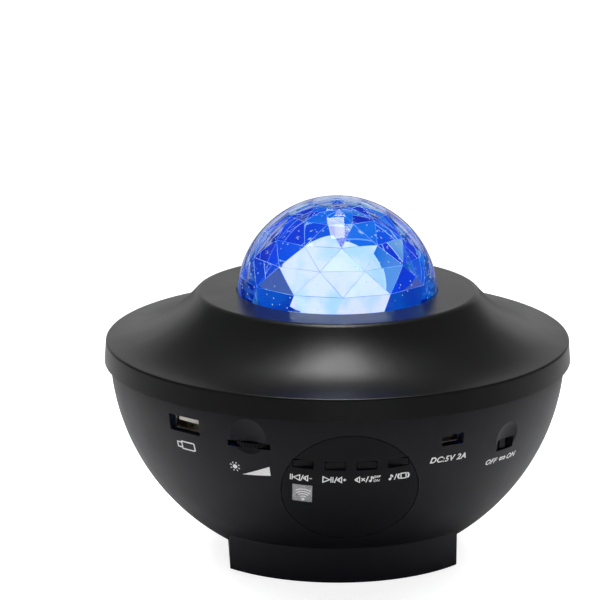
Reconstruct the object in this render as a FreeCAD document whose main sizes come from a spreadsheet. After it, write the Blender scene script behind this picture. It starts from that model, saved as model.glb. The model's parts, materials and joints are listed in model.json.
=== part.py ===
import FreeCAD, Part
import math
import os
import Sketcher
from FreeCAD import Placement, Rotation, Vector

# Star night light projector, in millimetres.
# Origin at the centre of the footprint on the table, Z up, the control panel faces -Y.

doc = FreeCAD.newDocument("StarProjector")
sheet = doc.addObject("Spreadsheet::Sheet", "Sizes")

SIZES = {
    # Levels above the table
    "foot_proud": 1.0,
    "rim_top": 76.3,
    "seat_drop": 1.9,
    "bowl_level": 72.3,
    # Cover
    "rim_radius": 84.0,
    "band_depth": 7.8,
    "band_flare": 0.6,
    "plateau_rise": 17.2,
    "plateau_radius": 50.8,
    "plateau_round": 2.6,
    "rim_round": 0.7,
    "slope_radius": 46.2,
    "cover_wall": 2.2,
    "cover_ledge": 5.0,
    "boss_cover": 1.0,
    "clamp_pilot_depth": 3.2,
    "deck_pilot_depth": 6.0,
    "lug_pilot_depth": 5.0,
    "underside_radius": 60.0,
    "dome_clearance": 0.25,
    # Dome
    "dome_inset": 14.35,
    "dome_drop": 2.65,
    "dome_wall": 2.3,
    "flange_lip": 3.55,
    "flange_thick": 2.0,
    # Clamp ring
    "clamp_ledge": 3.25,
    "clamp_inset": 1.8,
    "clamp_thick": 3.0,
    "clamp_screw_inset": 4.0,
    # Bowl and pedestal
    "bowl_curve": 78.7,
    "rim_lap": 1.4,
    "bowl_wall": 2.4,
    "lip_step": 0.25,
    "pedestal_radius": 56.6,
    "pedestal_draft": 0.4,
    "pedestal_half_width": 40.5,
    "pedestal_wall": 2.4,
    "pedestal_height": 15.0,
    # Screws
    "screw_radius": 1.2,
    "screw_head_radius": 2.4,
    "screw_head_thick": 1.6,
    "thread_gap": 0.05,
    "screw_slack": 0.3,
    "boss_radius": 3.4,
    # Cover to bowl joint
    "lug_inset": 9.5,
    "lug_edge": 3.6,
    "lug_half_width": 5.0,
    "lug_depth": 4.0,
    "lug_drop": 6.3,
    # Base plate, feet and grille
    "plate_thick": 2.2,
    "plate_gap": 0.2,
    "base_screw_x": 34.0,
    "base_screw_y": 36.0,
    "base_boss_height": 9.0,
    "base_boss_radius": 4.6,
    "foot_radius": 5.0,
    "foot_seat": 0.8,
    "foot_x": 24.0,
    "foot_y": 42.0,
    "slot_width": 1.8,
    "slot_pitch": 3.6,
    # Control panel
    "panel_radius": 23.5,
    "panel_tilt": 24.4,
    "panel_thick": 1.5,
    "panel_gap": 0.25,
    "key_width": 7.2,
    "key_height": 3.4,
    "key_pitch": 10.9,
    "key_row": 12.2,
    "key_gap": 0.3,
    "key_recess": 0.4,
    "key_travel": 0.4,
    "key_flange": 0.8,
    "key_flange_lip": 0.9,
    "key_board_depth": 15.5,
    "key_board_thick": 1.2,
    "switch_height": 3.5,
    "stem_height": 0.5,
    "stem_radius": 1.6,
    "plunger_radius": 1.4,
    "tact_size": 6.0,
    "key_board_half": 22.0,
    "key_board_margin": 5.0,
    "key_screw_x": 11.0,
    "key_screw_radius": 1.1,
    "key_screw_head": 2.1,
    "key_screw_hole": 1.3,
    "spacer_radius": 2.6,
    "spacer_bore": 1.15,
    "spacer_gap": 0.25,
    "ir_width": 6.9,
    "ir_height": 7.8,
    "ir_gap": 0.1,
    "ir_x": 16.4,
    "ir_v": -0.45,
    # Ports and main board
    "board_level": 54.6,
    "board_thick": 1.6,
    "board_gap": 5.11,
    "board_breadth": 33.0,
    "board_back": 8.0,
    "chip_height": 1.4,
    "can_radius": 3.1,
    "can_height": 7.5,
    "post_azimuth_front": 35.0,
    "post_inset_front": 11.0,
    "post_azimuth_side": 78.0,
    "post_inset_side": 7.0,
    "usb_azimuth": 43.8,
    "usb_level": 60.8,
    "usb_window_width": 14.0,
    "usb_window_height": 6.0,
    "usb_shell_width": 13.1,
    "usb_shell_height": 5.1,
    "usb_shell_length": 14.0,
    "usb_shell_wall": 0.35,
    "usb_setback": 2.75,
    "usb_tongue_width": 11.1,
    "usb_tongue_thick": 1.8,
    "dc_azimuth": 25.8,
    "dc_level": 58.3,
    "dc_window_width": 8.6,
    "dc_window_height": 4.0,
    "dc_shell_width": 7.5,
    "dc_shell_height": 2.9,
    "dc_shell_length": 6.0,
    "dc_shell_wall": 0.3,
    "dc_setback": 2.75,
    "dc_tongue_width": 3.8,
    "dc_tongue_thick": 0.7,
    "switch_azimuth": 43.8,
    "switch_level": 51.6,
    "switch_window_width": 8.4,
    "switch_window_height": 4.0,
    "knob_width": 3.2,
    "knob_height": 3.2,
    "knob_travel": 2.2,
    "knob_recess": 0.6,
    "switch_dish_width": 9.6,
    "switch_dish_depth": 0.8,
    "wheel_dish_width": 13.0,
    "wheel_dish_depth": 1.0,
    "wheel_azimuth": 25.3,
    "wheel_level": 57.5,
    "wheel_radius": 8.0,
    "wheel_thick": 1.6,
    "wheel_proud": 0.2,
    "wheel_slot_width": 15.9,
    "wheel_slot_height": 2.2,
    "wheel_bore": 2.0,
    "running_gap": 0.05,
    "knurls": 40,
    "knurl_radius": 0.32,
    # Light engine
    "deck_top": 78.0,
    "deck_thick": 2.5,
    "deck_inset": 21.0,
    "deck_screw_inset": 6.0,
    "gear_level": 82.0,
    "gear_module": 0.5,
    "ring_teeth": 64,
    "pinion_teeth": 16,
    "grating_teeth": 32,
    "ring_gear_thick": 3.0,
    "small_gear_thick": 2.5,
    "gear_play": 0.2,
    "ring_bore": 13.0,
    "guide_wall": 1.4,
    "guide_shoulder": 15.0,
    "pinion_azimuth": 150.0,
    "grating_bore": 5.6,
    "grating_glass_radius": 6.4,
    "grating_glass_thick": 1.0,
    "grating_sleeve_bore": 4.6,
    "led_board_radius": 11.0,
    "led_board_thick": 1.6,
    "led_size": 3.5,
    "led_height": 1.2,
    "led_circle": 4.2,
    "lens_radius": 18.0,
    "lens_base": 1.5,
    "lens_wall": 1.6,
    "lens_skirt": 6.0,
    "lens_height": 27.0,
    "sink_half": 13.0,
    "sink_centre_x": 5.6,
    "sink_front": -18.0,
    "sink_back": 15.0,
    "sink_base": 3.0,
    "fin_height": 10.0,
    "fin_thick": 1.4,
    "fin_count": 7,
    "motor_radius": 7.0,
    "motor_length": 15.0,
    "shaft_radius": 1.0,
    "laser_radius": 6.0,
    "laser_length": 20.0,
    "holder_wall": 2.0,
    "holder_length": 8.0,
    # Speaker
    "speaker_half": 21.0,
    "speaker_bore": 16.5,
    "speaker_screw": 17.5,
    "gasket_thick": 1.0,
    "speaker_flange": 1.2,
    "basket_height": 8.8,
    "basket_radius": 13.5,
    "magnet_radius": 12.0,
    "magnet_height": 8.0,
    "coil_radius": 6.4,
    "cone_radius": 14.2,
    "cone_thick": 0.6,
    "surround_gap": 0.25,
    "surround_thick": 0.4,
}

for row, (alias, value) in enumerate(SIZES.items(), start=1):
    sheet.set(f"A{row}", alias)
    sheet.set(f"B{row}", str(value))
    sheet.setAlias(f"B{row}", alias)
doc.recompute()

# Levels and places that several pieces share, written as formulas over the sizes.
BASE = "Sizes.foot_proud"
PLATE_TOP = f"({BASE} + Sizes.plate_thick)"
SEAT = "(Sizes.rim_top - Sizes.seat_drop)"
PLATEAU = "(Sizes.rim_top + Sizes.plateau_rise)"
UNDERSIDE = f"({PLATEAU} - Sizes.cover_wall)"
FLANGE_BOTTOM = f"({UNDERSIDE} - Sizes.flange_thick)"
CLAMP_BOTTOM = f"({FLANGE_BOTTOM} - Sizes.clamp_thick)"
DOME_CENTRE = f"({PLATEAU} - Sizes.dome_drop)"
LUG_TOP = "(Sizes.rim_top - Sizes.lug_drop)"
LUG_BOTTOM = f"({LUG_TOP} - Sizes.lug_depth)"
DECK_BOTTOM = "(Sizes.deck_top - Sizes.deck_thick)"
BOARD_TOP = "(Sizes.board_level + Sizes.board_thick)"
RING_PITCH = "(Sizes.gear_module * Sizes.ring_teeth / 2)"
PINION_PITCH = "(Sizes.gear_module * Sizes.pinion_teeth / 2)"
GRATING_PITCH = "(Sizes.gear_module * Sizes.grating_teeth / 2)"
PINION_DISTANCE = f"({RING_PITCH} + {PINION_PITCH})"
GRATING_DISTANCE = f"({RING_PITCH} + {GRATING_PITCH})"
PINION_X = f"({PINION_DISTANCE} * cos(Sizes.pinion_azimuth))"
PINION_Y = f"({PINION_DISTANCE} * sin(Sizes.pinion_azimuth))"
BOWL_OFFSET = "(Sizes.rim_radius - Sizes.rim_lap - Sizes.bowl_curve)"
LUG_CIRCLE = "(Sizes.rim_radius - Sizes.lug_inset)"
DECK_RADIUS = "(Sizes.rim_radius - Sizes.deck_inset)"
DECK_SCREW_CIRCLE = f"({DECK_RADIUS} - Sizes.deck_screw_inset)"
DOME_RADIUS = "(Sizes.plateau_radius - Sizes.dome_inset)"
DOME_FOOT = f"(sqrt({DOME_RADIUS}^2 - Sizes.dome_drop^2))"
FLANGE_RADIUS = f"({DOME_RADIUS} + Sizes.flange_lip)"
CLAMP_RADIUS = "(Sizes.plateau_radius - Sizes.clamp_inset)"
CLAMP_BORE = f"({DOME_RADIUS} - Sizes.clamp_ledge)"
CLAMP_SCREW_CIRCLE = f"({CLAMP_RADIUS} - Sizes.clamp_screw_inset)"
HOLE = "(Sizes.screw_radius + Sizes.screw_slack)"
PILOT = "(Sizes.screw_radius + Sizes.thread_gap)"
PANEL_MIDDLE_RADIUS = f"({BOWL_OFFSET} + Sizes.bowl_curve * cos(Sizes.panel_tilt))"
QUARTERS = (45, 135, 225, 315)

made = {}


def number(formula):
    """Value of a formula over the sheet's sizes."""
    return float(sheet.evalExpression(str(formula)))


def add(kind, name, formulas, at=("0", "0", "0")):
    """One primitive whose sizes and place follow formulas."""
    piece = doc.addObject(kind, name)
    for prop, formula in formulas.items():
        piece.setExpression(prop, str(formula))
    for axis, formula in zip("xyz", at):
        piece.setExpression("Placement.Base." + axis, str(formula))
    return piece


def rod(name, radius, bottom, top, x="0", y="0"):
    """Upright cylinder between two levels."""
    return add("Part::Cylinder", name, {"Radius": radius, "Height": f"({top}) - ({bottom})"}, (x, y, bottom))


def block(name, x, y, z):
    """Box between pairs of faces along each axis."""
    sizes = {
        "Length": f"({x[1]}) - ({x[0]})",
        "Width": f"({y[1]}) - ({y[0]})",
        "Height": f"({z[1]}) - ({z[0]})",
    }
    return add("Part::Box", name, sizes, (x[0], y[0], z[0]))


def fuse(name, pieces):
    piece = doc.addObject("Part::MultiFuse", name)
    piece.Shapes = pieces
    return piece


def group(name, pieces):
    """Separate solids kept side by side in one node."""
    piece = doc.addObject("Part::Compound", name)
    piece.Links = pieces
    return piece


def cut(name, base, tool):
    piece = doc.addObject("Part::Cut", name)
    piece.Base = base
    piece.Tool = tool
    return piece


def common(name, first, second):
    piece = doc.addObject("Part::Common", name)
    piece.Base = first
    piece.Tool = second
    return piece


def ring(name, outer, inner, bottom, top, x="0", y="0"):
    """Upright tube between two levels."""
    bore = rod(name + "_bore", inner, f"({bottom}) - 1", f"({top}) + 1", x, y)
    return cut(name, rod(name + "_outside", outer, bottom, top, x, y), bore)


def swing(piece, azimuth):
    """Turns a piece built at the front round the vertical axis, positive towards +X."""
    piece.Placement = Placement(Vector(), Rotation(Vector(0, 0, 1), 1))
    piece.setExpression("Placement.Rotation.Angle", str(azimuth))
    return piece


def on_panel(piece):
    """Moves a piece from panel axes (across, up the panel, outward) to its place on the bowl."""
    piece.Placement = Placement(Vector(), Rotation(Vector(1, 0, 0), 90))
    piece.setExpression("Placement.Rotation.Angle", "90 + Sizes.panel_tilt")
    piece.setExpression("Placement.Base.y", f"-{PANEL_MIDDLE_RADIUS}")
    piece.setExpression("Placement.Base.z", "Sizes.bowl_level - Sizes.bowl_curve * sin(Sizes.panel_tilt)")
    return piece


def part(name, piece):
    """Names a finished sub-part, which is written to its own file."""
    piece.Label = name
    made[name] = piece
    return piece


def body(name):
    return doc.addObject("PartDesign::Body", name)


def origin_plane(owner, role):
    return next(item for item in owner.Origin.OriginFeatures if item.Role == role)


def outline(owner, name, role, corners):
    """Closed sketch through corners (across, up); a third value is the radius of the arc that
    leaves the corner, positive when its centre lies to the left of the way round."""
    sketch = owner.newObject("Sketcher::SketchObject", name)
    sketch.AttachmentSupport = (origin_plane(owner, role), [""])
    sketch.MapMode = "FlatFace"
    points = [Vector(number(corner[0]), number(corner[1]), 0) for corner in corners]
    ends = []
    for index, corner in enumerate(corners):
        start = points[index]
        end = points[(index + 1) % len(points)]
        if len(corner) == 2:
            edge = sketch.addGeometry(Part.LineSegment(start, end), False)
            ends.append((edge, 1, 2))
            continue
        radius = number(corner[2])
        along = end - start
        left = Vector(-along.y, along.x, 0).normalize()
        reach = math.sqrt(radius ** 2 - (along.Length / 2) ** 2)
        centre = (start + end) / 2 + left * math.copysign(reach, radius)
        circle = Part.Circle(centre, Vector(0, 0, 1), abs(radius))
        first, last = (start, end) if radius > 0 else (end, start)
        angles = [math.atan2(p.y - centre.y, p.x - centre.x) for p in (first, last)]
        edge = sketch.addGeometry(Part.ArcOfCircle(circle, *angles), False)
        ends.append((edge, 1, 2) if radius > 0 else (edge, 2, 1))
        rule = sketch.addConstraint(Sketcher.Constraint("Radius", edge, abs(radius)))
        sketch.setExpression(f"Constraints[{rule}]", f"abs({corner[2]})")
    for index, (edge, first, last) in enumerate(ends):
        following = ends[(index + 1) % len(ends)]
        sketch.addConstraint(Sketcher.Constraint("Coincident", edge, last, following[0], following[1]))
    for index, (edge, first, last) in enumerate(ends):
        for kind, on_axis, value in (("DistanceX", -2, points[index].x), ("DistanceY", -1, points[index].y)):
            if abs(value) < 1e-9:
                sketch.addConstraint(Sketcher.Constraint("PointOnObject", edge, first, on_axis))
                continue
            rule = sketch.addConstraint(Sketcher.Constraint(kind, -1, 1, edge, first, value))
            formula = corners[index][0 if kind == "DistanceX" else 1]
            sketch.setExpression(f"Constraints[{rule}]", str(formula))
    return sketch


def turned(name, corners):
    """Body revolved about the vertical axis from corners (radius, level)."""
    owner = body(name)
    sketch = outline(owner, name + "_profile", "XZ_Plane", corners)
    turn = owner.newObject("PartDesign::Revolution", name + "_turn")
    turn.Profile = sketch
    turn.ReferenceAxis = (sketch, ["V_Axis"])
    turn.Angle = 360
    return owner


def round_edge(owner, name, radius, level, size):
    """Fillet on the circular edge of a body that has a given radius and level."""
    doc.recompute()
    base = owner.Tip
    names = []
    for index, edge in enumerate(owner.Shape.Edges, start=1):
        if not isinstance(edge.Curve, Part.Circle):
            continue
        if abs(edge.Curve.Radius - number(radius)) < 0.01 and abs(edge.Curve.Center.z - number(level)) < 0.01:
            names.append(f"Edge{index}")
    fillet = owner.newObject("PartDesign::Fillet", name)
    fillet.Base = (base, names)
    fillet.setExpression("Radius", str(size))
    return fillet


def cap_curve(reach, rise):
    """Formula for the sphere radius of a cap with a given base radius and rise."""
    return f"((({reach})^2 + ({rise})^2) / (2 * ({rise})))"


def bowl_radius(level, inset="0"):
    """Formula for the bowl's radius at a level, on a skin set in from its outer face."""
    curve = f"(Sizes.bowl_curve - ({inset}))"
    return f"({BOWL_OFFSET} + sqrt({curve}^2 - (Sizes.bowl_level - ({level}))^2))"


BOARD_OUTER = f"({bowl_radius('Sizes.board_level', 'Sizes.bowl_wall')} - Sizes.board_gap)"
BOARD_INNER = f"({BOARD_OUTER} - Sizes.board_breadth)"
USB_MOUTH = f"({bowl_radius('Sizes.usb_level')} - Sizes.usb_setback)"
DC_MOUTH = f"({bowl_radius('Sizes.dc_level')} - Sizes.dc_setback)"


def around(circle, angle):
    """Formulas for x and y at an angle from the front, positive towards +X."""
    return f"({circle}) * sin({angle})", f"-({circle}) * cos({angle})"


def screws(name, places, head_bottom, head_up, length):
    """Pan-head screws; head_up is False where the head is under its shank."""
    solids = []
    for index, (x, y) in enumerate(places):
        head_top = f"({head_bottom}) + Sizes.screw_head_thick"
        head = rod(f"{name}_head{index}", "Sizes.screw_head_radius", head_bottom, head_top, x, y)
        if head_up:
            shank = rod(f"{name}_shank{index}", "Sizes.screw_radius", f"({head_bottom}) - ({length})",
                        head_bottom, x, y)
        else:
            shank = rod(f"{name}_shank{index}", "Sizes.screw_radius", head_top, f"({head_top}) + ({length})",
                        x, y)
        solids.append(fuse(f"{name}_{index}", [head, shank]))
    return part(name, group(name, solids))


def gear_outline(teeth, module, phase):
    """Involute outline of a spur gear, thinned for backlash, as a face at level zero."""
    pressure = math.radians(20)
    backlash = 0.1
    pitch = module * teeth / 2
    base = pitch * math.cos(pressure)
    tip = pitch + 0.9 * module
    root = pitch - 1.25 * module
    half_tooth = math.pi / (2 * teeth) - backlash / (2 * pitch) + math.tan(pressure) - pressure
    steps = 4
    points = []
    for tooth in range(teeth):
        middle = math.radians(phase) + 2 * math.pi * tooth / teeth
        flank = []
        start = max(base, root)
        for step in range(steps + 1):
            radius = start + (tip - start) * step / steps
            roll = math.acos(min(1.0, base / radius))
            flank.append((radius, half_tooth - (math.tan(roll) - roll)))
        if root < base:
            flank.insert(0, (root, half_tooth))
        points += [(radius, middle - angle) for radius, angle in flank]
        points += [(radius, middle + angle) for radius, angle in reversed(flank)]
    corners = [Vector(radius * math.cos(angle), radius * math.sin(angle), 0) for radius, angle in points]
    return Part.Face(Part.makePolygon(corners + corners[:1]))


def toothed_disc(name, teeth, phase, thick, x="0", y="0"):
    """Gear blank with its teeth, its underside at the gear level."""
    face = gear_outline(int(number(teeth)), number("Sizes.gear_module"), phase)
    blank = doc.addObject("Part::Feature", name)
    blank.Shape = face.extrude(Vector(0, 0, number(thick)))
    blank.Placement = Placement(Vector(number(x), number(y), number("Sizes.gear_level")), Rotation())
    return blank


def mesh_phase(direction, teeth):
    """Angle of a tooth's middle that puts a gear in mesh with the ring gear in a direction from it."""
    ring_step = 360 / number("Sizes.ring_teeth")
    step = 360 / number(teeth)
    return direction + 180 - step * (0.5 - (direction / ring_step) % 1)


# Cover: rim band, concave slope and plateau, with bosses for the dome, the deck and the bowl.

def make_cover():
    band_bottom = "(Sizes.rim_top - Sizes.band_depth)"
    band_outer = "(Sizes.rim_radius + Sizes.band_flare)"
    band_inner = f"({bowl_radius('Sizes.bowl_level')} + Sizes.lip_step)"
    dome_hole = f"({DOME_FOOT} + Sizes.dome_clearance)"
    skin = [
        ("Sizes.plateau_radius", PLATEAU, "Sizes.slope_radius"),
        ("Sizes.rim_radius", "Sizes.rim_top"),
        (band_outer, band_bottom),
    ]
    shell = turned("cover_shell", [(dome_hole, PLATEAU)] + skin + [
        (band_inner, band_bottom),
        (band_inner, SEAT),
        (f"{band_inner} - Sizes.cover_ledge", SEAT, "-Sizes.underside_radius"),
        ("Sizes.plateau_radius - Sizes.cover_wall", UNDERSIDE),
        (dome_hole, UNDERSIDE),
    ])
    round_edge(shell, "plateau_rounding", "Sizes.plateau_radius", PLATEAU, "Sizes.plateau_round")
    round_edge(shell, "rim_rounding", "Sizes.rim_radius", "Sizes.rim_top", "Sizes.rim_round")
    envelope = turned("cover_envelope", [
        ("0", f"{PLATEAU} - Sizes.boss_cover"),
        ("Sizes.plateau_radius - Sizes.boss_cover", f"{PLATEAU} - Sizes.boss_cover", "Sizes.slope_radius"),
        ("Sizes.rim_radius - Sizes.boss_cover", "Sizes.rim_top - Sizes.boss_cover"),
        ("Sizes.rim_radius - Sizes.boss_cover", "0"),
        ("0", "0"),
    ])
    bosses = []
    pilots = []
    for index, angle in enumerate(QUARTERS):
        kinds = (
            ("clamp", CLAMP_SCREW_CIRCLE, FLANGE_BOTTOM, "0", "Sizes.clamp_pilot_depth"),
            ("deck", DECK_SCREW_CIRCLE, "Sizes.deck_top", "0", "Sizes.deck_pilot_depth"),
            ("lug", LUG_CIRCLE, LUG_TOP, "45", "Sizes.lug_pilot_depth"),
        )
        for kind, circle, bottom, shift, depth in kinds:
            x, y = around(circle, f"{angle} + {shift}")
            bosses.append(rod(f"cover_{kind}_boss{index}", "Sizes.boss_radius", bottom, PLATEAU, x, y))
            top = f"{bottom} + {depth}"
            pilots.append(rod(f"cover_{kind}_pilot{index}", PILOT, f"{bottom} - 1", top, x, y))
    trimmed = common("cover_bosses", fuse("cover_bosses_long", bosses), envelope)
    part("upper_cover", cut("upper_cover", fuse("cover_solid", [shell, trimmed]), group("cover_pilots",
                                                                                        pilots)))


def make_cover_screws():
    places = [around(LUG_CIRCLE, f"{angle} + 45") for angle in QUARTERS]
    head = f"({LUG_BOTTOM} - Sizes.screw_head_thick)"
    screws("cover_screws", places, head, False, "Sizes.lug_depth + 4.2")


# Dome: smooth sphere outside, rings of triangular facets inside.

def facet_core():
    """Solid inside the dome: twelve-sided rings, each turned half a step from the last."""
    radius = number(DOME_RADIUS) - number("Sizes.dome_wall")
    centre = number(DOME_CENTRE)
    sides = 12
    polar_angles = (112, 77, 62, 47, 30, 15)
    rings = []
    for order, polar in enumerate(polar_angles):
        tilt = math.radians(polar)
        shift = 0.5 if order % 2 == 0 else 0.0
        ring_points = []
        for side in range(sides):
            turn = 2 * math.pi * (side + shift) / sides
            across = radius * math.sin(tilt)
            level = centre + radius * math.cos(tilt)
            ring_points.append(Vector(across * math.sin(turn), -across * math.cos(turn), level))
        rings.append(ring_points)
    triangles = []
    for order in range(len(rings) - 1):
        lower, upper = rings[order], rings[order + 1]
        lead = 0 if order % 2 == 0 else 1
        for side in range(sides):
            after = (side + 1) % sides
            if lead == 0:
                triangles.append((lower[side], lower[after], upper[after]))
                triangles.append((lower[side], upper[after], upper[side]))
            else:
                triangles.append((lower[side], lower[after], upper[side]))
                triangles.append((lower[after], upper[after], upper[side]))
    apex = Vector(0, 0, centre + radius)
    for side in range(sides):
        triangles.append((rings[-1][side], rings[-1][(side + 1) % sides], apex))
    faces = [Part.Face(Part.makePolygon([a, b, c, a])) for a, b, c in triangles]
    faces.append(Part.Face(Part.makePolygon(rings[0] + rings[0][:1])))
    core = Part.Solid(Part.Shell(faces))
    if core.Volume < 0:
        core.reverse()
    return core


def make_dome():
    outside = turned("dome_outside", [
        ("0", f"{DOME_CENTRE} + {DOME_RADIUS}", f"-{DOME_RADIUS}"),
        (DOME_FOOT, PLATEAU),
        (DOME_FOOT, UNDERSIDE),
        (FLANGE_RADIUS, UNDERSIDE),
        (FLANGE_RADIUS, FLANGE_BOTTOM),
        ("0", FLANGE_BOTTOM),
    ])
    core = doc.addObject("Part::Feature", "facet_core")
    core.Shape = facet_core()
    part("crystal_dome", cut("crystal_dome", outside, core))


def make_clamp_ring():
    plate = ring("clamp_plate", CLAMP_RADIUS, CLAMP_BORE, CLAMP_BOTTOM, FLANGE_BOTTOM)
    holes = []
    for index, angle in enumerate(QUARTERS):
        x, y = around(CLAMP_SCREW_CIRCLE, angle)
        holes.append(rod(f"clamp_hole{index}", HOLE, f"{CLAMP_BOTTOM} - 1", f"{FLANGE_BOTTOM} + 1", x, y))
    part("dome_clamp_ring", cut("dome_clamp_ring", plate, group("clamp_holes", holes)))
    places = [around(CLAMP_SCREW_CIRCLE, angle) for angle in QUARTERS]
    screws("clamp_ring_screws", places, f"({CLAMP_BOTTOM} - Sizes.screw_head_thick)", False,
           "Sizes.clamp_thick + 2.6")


# Bowl: round-bottomed shell with a flat-sided pedestal, windows, dishes, posts and lugs.

def bowl_solid(name, inset, top, bottom):
    """Filled bowl on a skin set in from the outer face."""
    return turned(name, [
        ("0", bottom),
        (bowl_radius(bottom, inset), bottom, f"Sizes.bowl_curve - ({inset})"),
        (bowl_radius(top, inset), top),
        ("0", top),
    ])


def pedestal(name, inset, bottom, top):
    """Disc with two flat sides."""
    half = f"(Sizes.pedestal_half_width - ({inset}))"
    cone = add("Part::Cone", name + "_disc", {
        "Radius1": f"Sizes.pedestal_radius - Sizes.pedestal_draft - ({inset})",
        "Radius2": f"Sizes.pedestal_radius - ({inset})",
        "Height": f"({top}) - ({bottom})",
    }, ("0", "0", bottom))
    flats = block(name + "_flats", (f"-{half}", half), ("-80", "80"), (bottom, top))
    return common(name, cone, flats)


def radial_window(name, azimuth, level, width, height, inner="70", outer="90"):
    box = block(name, (f"-{width} / 2", f"{width} / 2"), (f"-({outer})", f"-({inner})"),
                (f"{level} - {height} / 2", f"{level} + {height} / 2"))
    return swing(group(name + "_turned", [box]), azimuth)


def finger_dish(name, azimuth, level, width, depth):
    """Ball that hollows the bowl's skin where a finger reaches a control."""
    sphere_radius = cap_curve(f"{width} / 2", depth)
    away = f"{bowl_radius(level)} + {sphere_radius} - {depth}"
    ball = add("Part::Sphere", name, {"Radius": sphere_radius}, ("0", f"-({away})", level))
    return swing(group(name + "_turned", [ball]), azimuth)


def key_places():
    """Names of the keys and their places across the panel, from the left."""
    names = ("key_previous", "key_play", "key_mute", "key_mode")
    return [(name, f"({index} - 1.5) * Sizes.key_pitch") for index, name in enumerate(names)]


def panel_box(name, across, up, width, height, outward):
    x = (f"{across} - ({width}) / 2", f"{across} + ({width}) / 2")
    y = (f"{up} - ({height}) / 2", f"{up} + ({height}) / 2")
    return block(name, x, y, outward)


def panel_windows(name):
    """Cutters for the key windows and the infrared window, in panel axes."""
    boxes = []
    for key, across in key_places():
        boxes.append(panel_box(f"{name}_{key}", across, "Sizes.key_row", "Sizes.key_width",
                               "Sizes.key_height",
                               ("-12", "6")))
    boxes.append(panel_box(f"{name}_ir", "-Sizes.ir_x", "Sizes.ir_v", "Sizes.ir_width", "Sizes.ir_height",
                           ("-12", "6")))
    return on_panel(group(name, boxes))


def panel_skin(name, inner, outer):
    """Shell between two skins of the bowl, over the panel's height."""
    low, high = "8", "Sizes.bowl_level"
    return cut(name, bowl_solid(name + "_out", outer, high, low),
               bowl_solid(name + "_in", inner, f"{high} + 1", "7"))


def board_posts():
    """Places of the posts that carry the main board."""
    front = [around(f"{BOARD_OUTER} - Sizes.post_inset_front",
                    f"{sign} * Sizes.post_azimuth_front") for sign in (-1, 1)]
    side = [around(f"{BOARD_OUTER} - Sizes.post_inset_side",
                   f"{sign} * Sizes.post_azimuth_side") for sign in (-1, 1)]
    return front + side


def base_screw_places():
    return [(f"{sx} * Sizes.base_screw_x", f"{sy} * Sizes.base_screw_y") for sx in (-1, 1) for sy in (-1, 1)]


def make_bowl():
    outside = bowl_solid("bowl_outside", "0", SEAT, BASE)
    hull = fuse("bowl_hull", [outside, pedestal("pedestal_outside", "0", BASE,
                                                f"{BASE} + Sizes.pedestal_height")])
    inside = bowl_solid("bowl_inside", "Sizes.bowl_wall", "Sizes.rim_top", f"{BASE} + Sizes.bowl_wall")
    pocket = pedestal("pedestal_inside", "Sizes.pedestal_wall", "-1", f"{BASE} + Sizes.pedestal_height + 6")
    shell = cut("bowl_shell", hull, fuse("bowl_cavity", [inside, pocket]))
    posts = []
    holes = []
    for index, (x, y) in enumerate(board_posts()):
        posts.append(rod(f"board_post{index}", "Sizes.boss_radius", "10", "Sizes.board_level", x, y))
        holes.append(rod(f"board_pilot{index}", PILOT, "Sizes.board_level - 8", "Sizes.board_level + 1", x,
                         y))
    for index, (x, y) in enumerate(base_screw_places()):
        top = f"{PLATE_TOP} + Sizes.base_boss_height"
        posts.append(rod(f"base_boss{index}", "Sizes.base_boss_radius", PLATE_TOP, top, x, y))
        holes.append(rod(f"base_pilot{index}", PILOT, f"{PLATE_TOP} - 1", f"{PLATE_TOP} + 7", x, y))
    for index, angle in enumerate(QUARTERS):
        azimuth = f"{angle} + 45"
        x, y = around(LUG_CIRCLE, azimuth)
        holes.append(rod(f"lug_hole{index}", HOLE, f"{LUG_BOTTOM} - 1", f"{LUG_TOP} + 1", x, y))
        lug = block(f"lug{index}", ("-Sizes.lug_half_width", "Sizes.lug_half_width"),
                    (f"-({LUG_CIRCLE} + 20)", f"-({LUG_CIRCLE} - Sizes.lug_edge)"), (LUG_BOTTOM, LUG_TOP))
        posts.append(swing(group(f"lug{index}_turned", [lug]), azimuth))
    fittings = common("bowl_fittings", fuse("bowl_fittings_long", posts), hull)
    recess_disc = on_panel(group("panel_recess_disc", [
        rod("panel_recess_rod", "Sizes.panel_radius + Sizes.panel_gap", "-20", "20")]))
    recess = common("panel_recess", recess_disc, panel_skin("panel_recess_skin", "Sizes.panel_thick", "-3"))
    windows = [
        recess,
        panel_windows("bowl_windows"),
        radial_window("usb_window", "-Sizes.usb_azimuth", "Sizes.usb_level", "Sizes.usb_window_width",
                      "Sizes.usb_window_height"),
        radial_window("dc_window", "Sizes.dc_azimuth", "Sizes.dc_level", "Sizes.dc_window_width",
                      "Sizes.dc_window_height"),
        radial_window("switch_window", "Sizes.switch_azimuth", "Sizes.switch_level",
                      "Sizes.switch_window_width",
                      "Sizes.switch_window_height"),
        radial_window("wheel_window", "-Sizes.wheel_azimuth", "Sizes.wheel_level", "Sizes.wheel_slot_width",
                      "Sizes.wheel_slot_height"),
        finger_dish("switch_dish", "Sizes.switch_azimuth", "Sizes.switch_level", "Sizes.switch_dish_width",
                    "Sizes.switch_dish_depth"),
        finger_dish("wheel_dish", "-Sizes.wheel_azimuth", "Sizes.wheel_level", "Sizes.wheel_dish_width",
                    "Sizes.wheel_dish_depth"),
    ]
    solid = fuse("bowl_with_fittings", [shell, fittings])
    part("lower_bowl", cut("lower_bowl", solid, group("bowl_cutters", holes + windows)))


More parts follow.
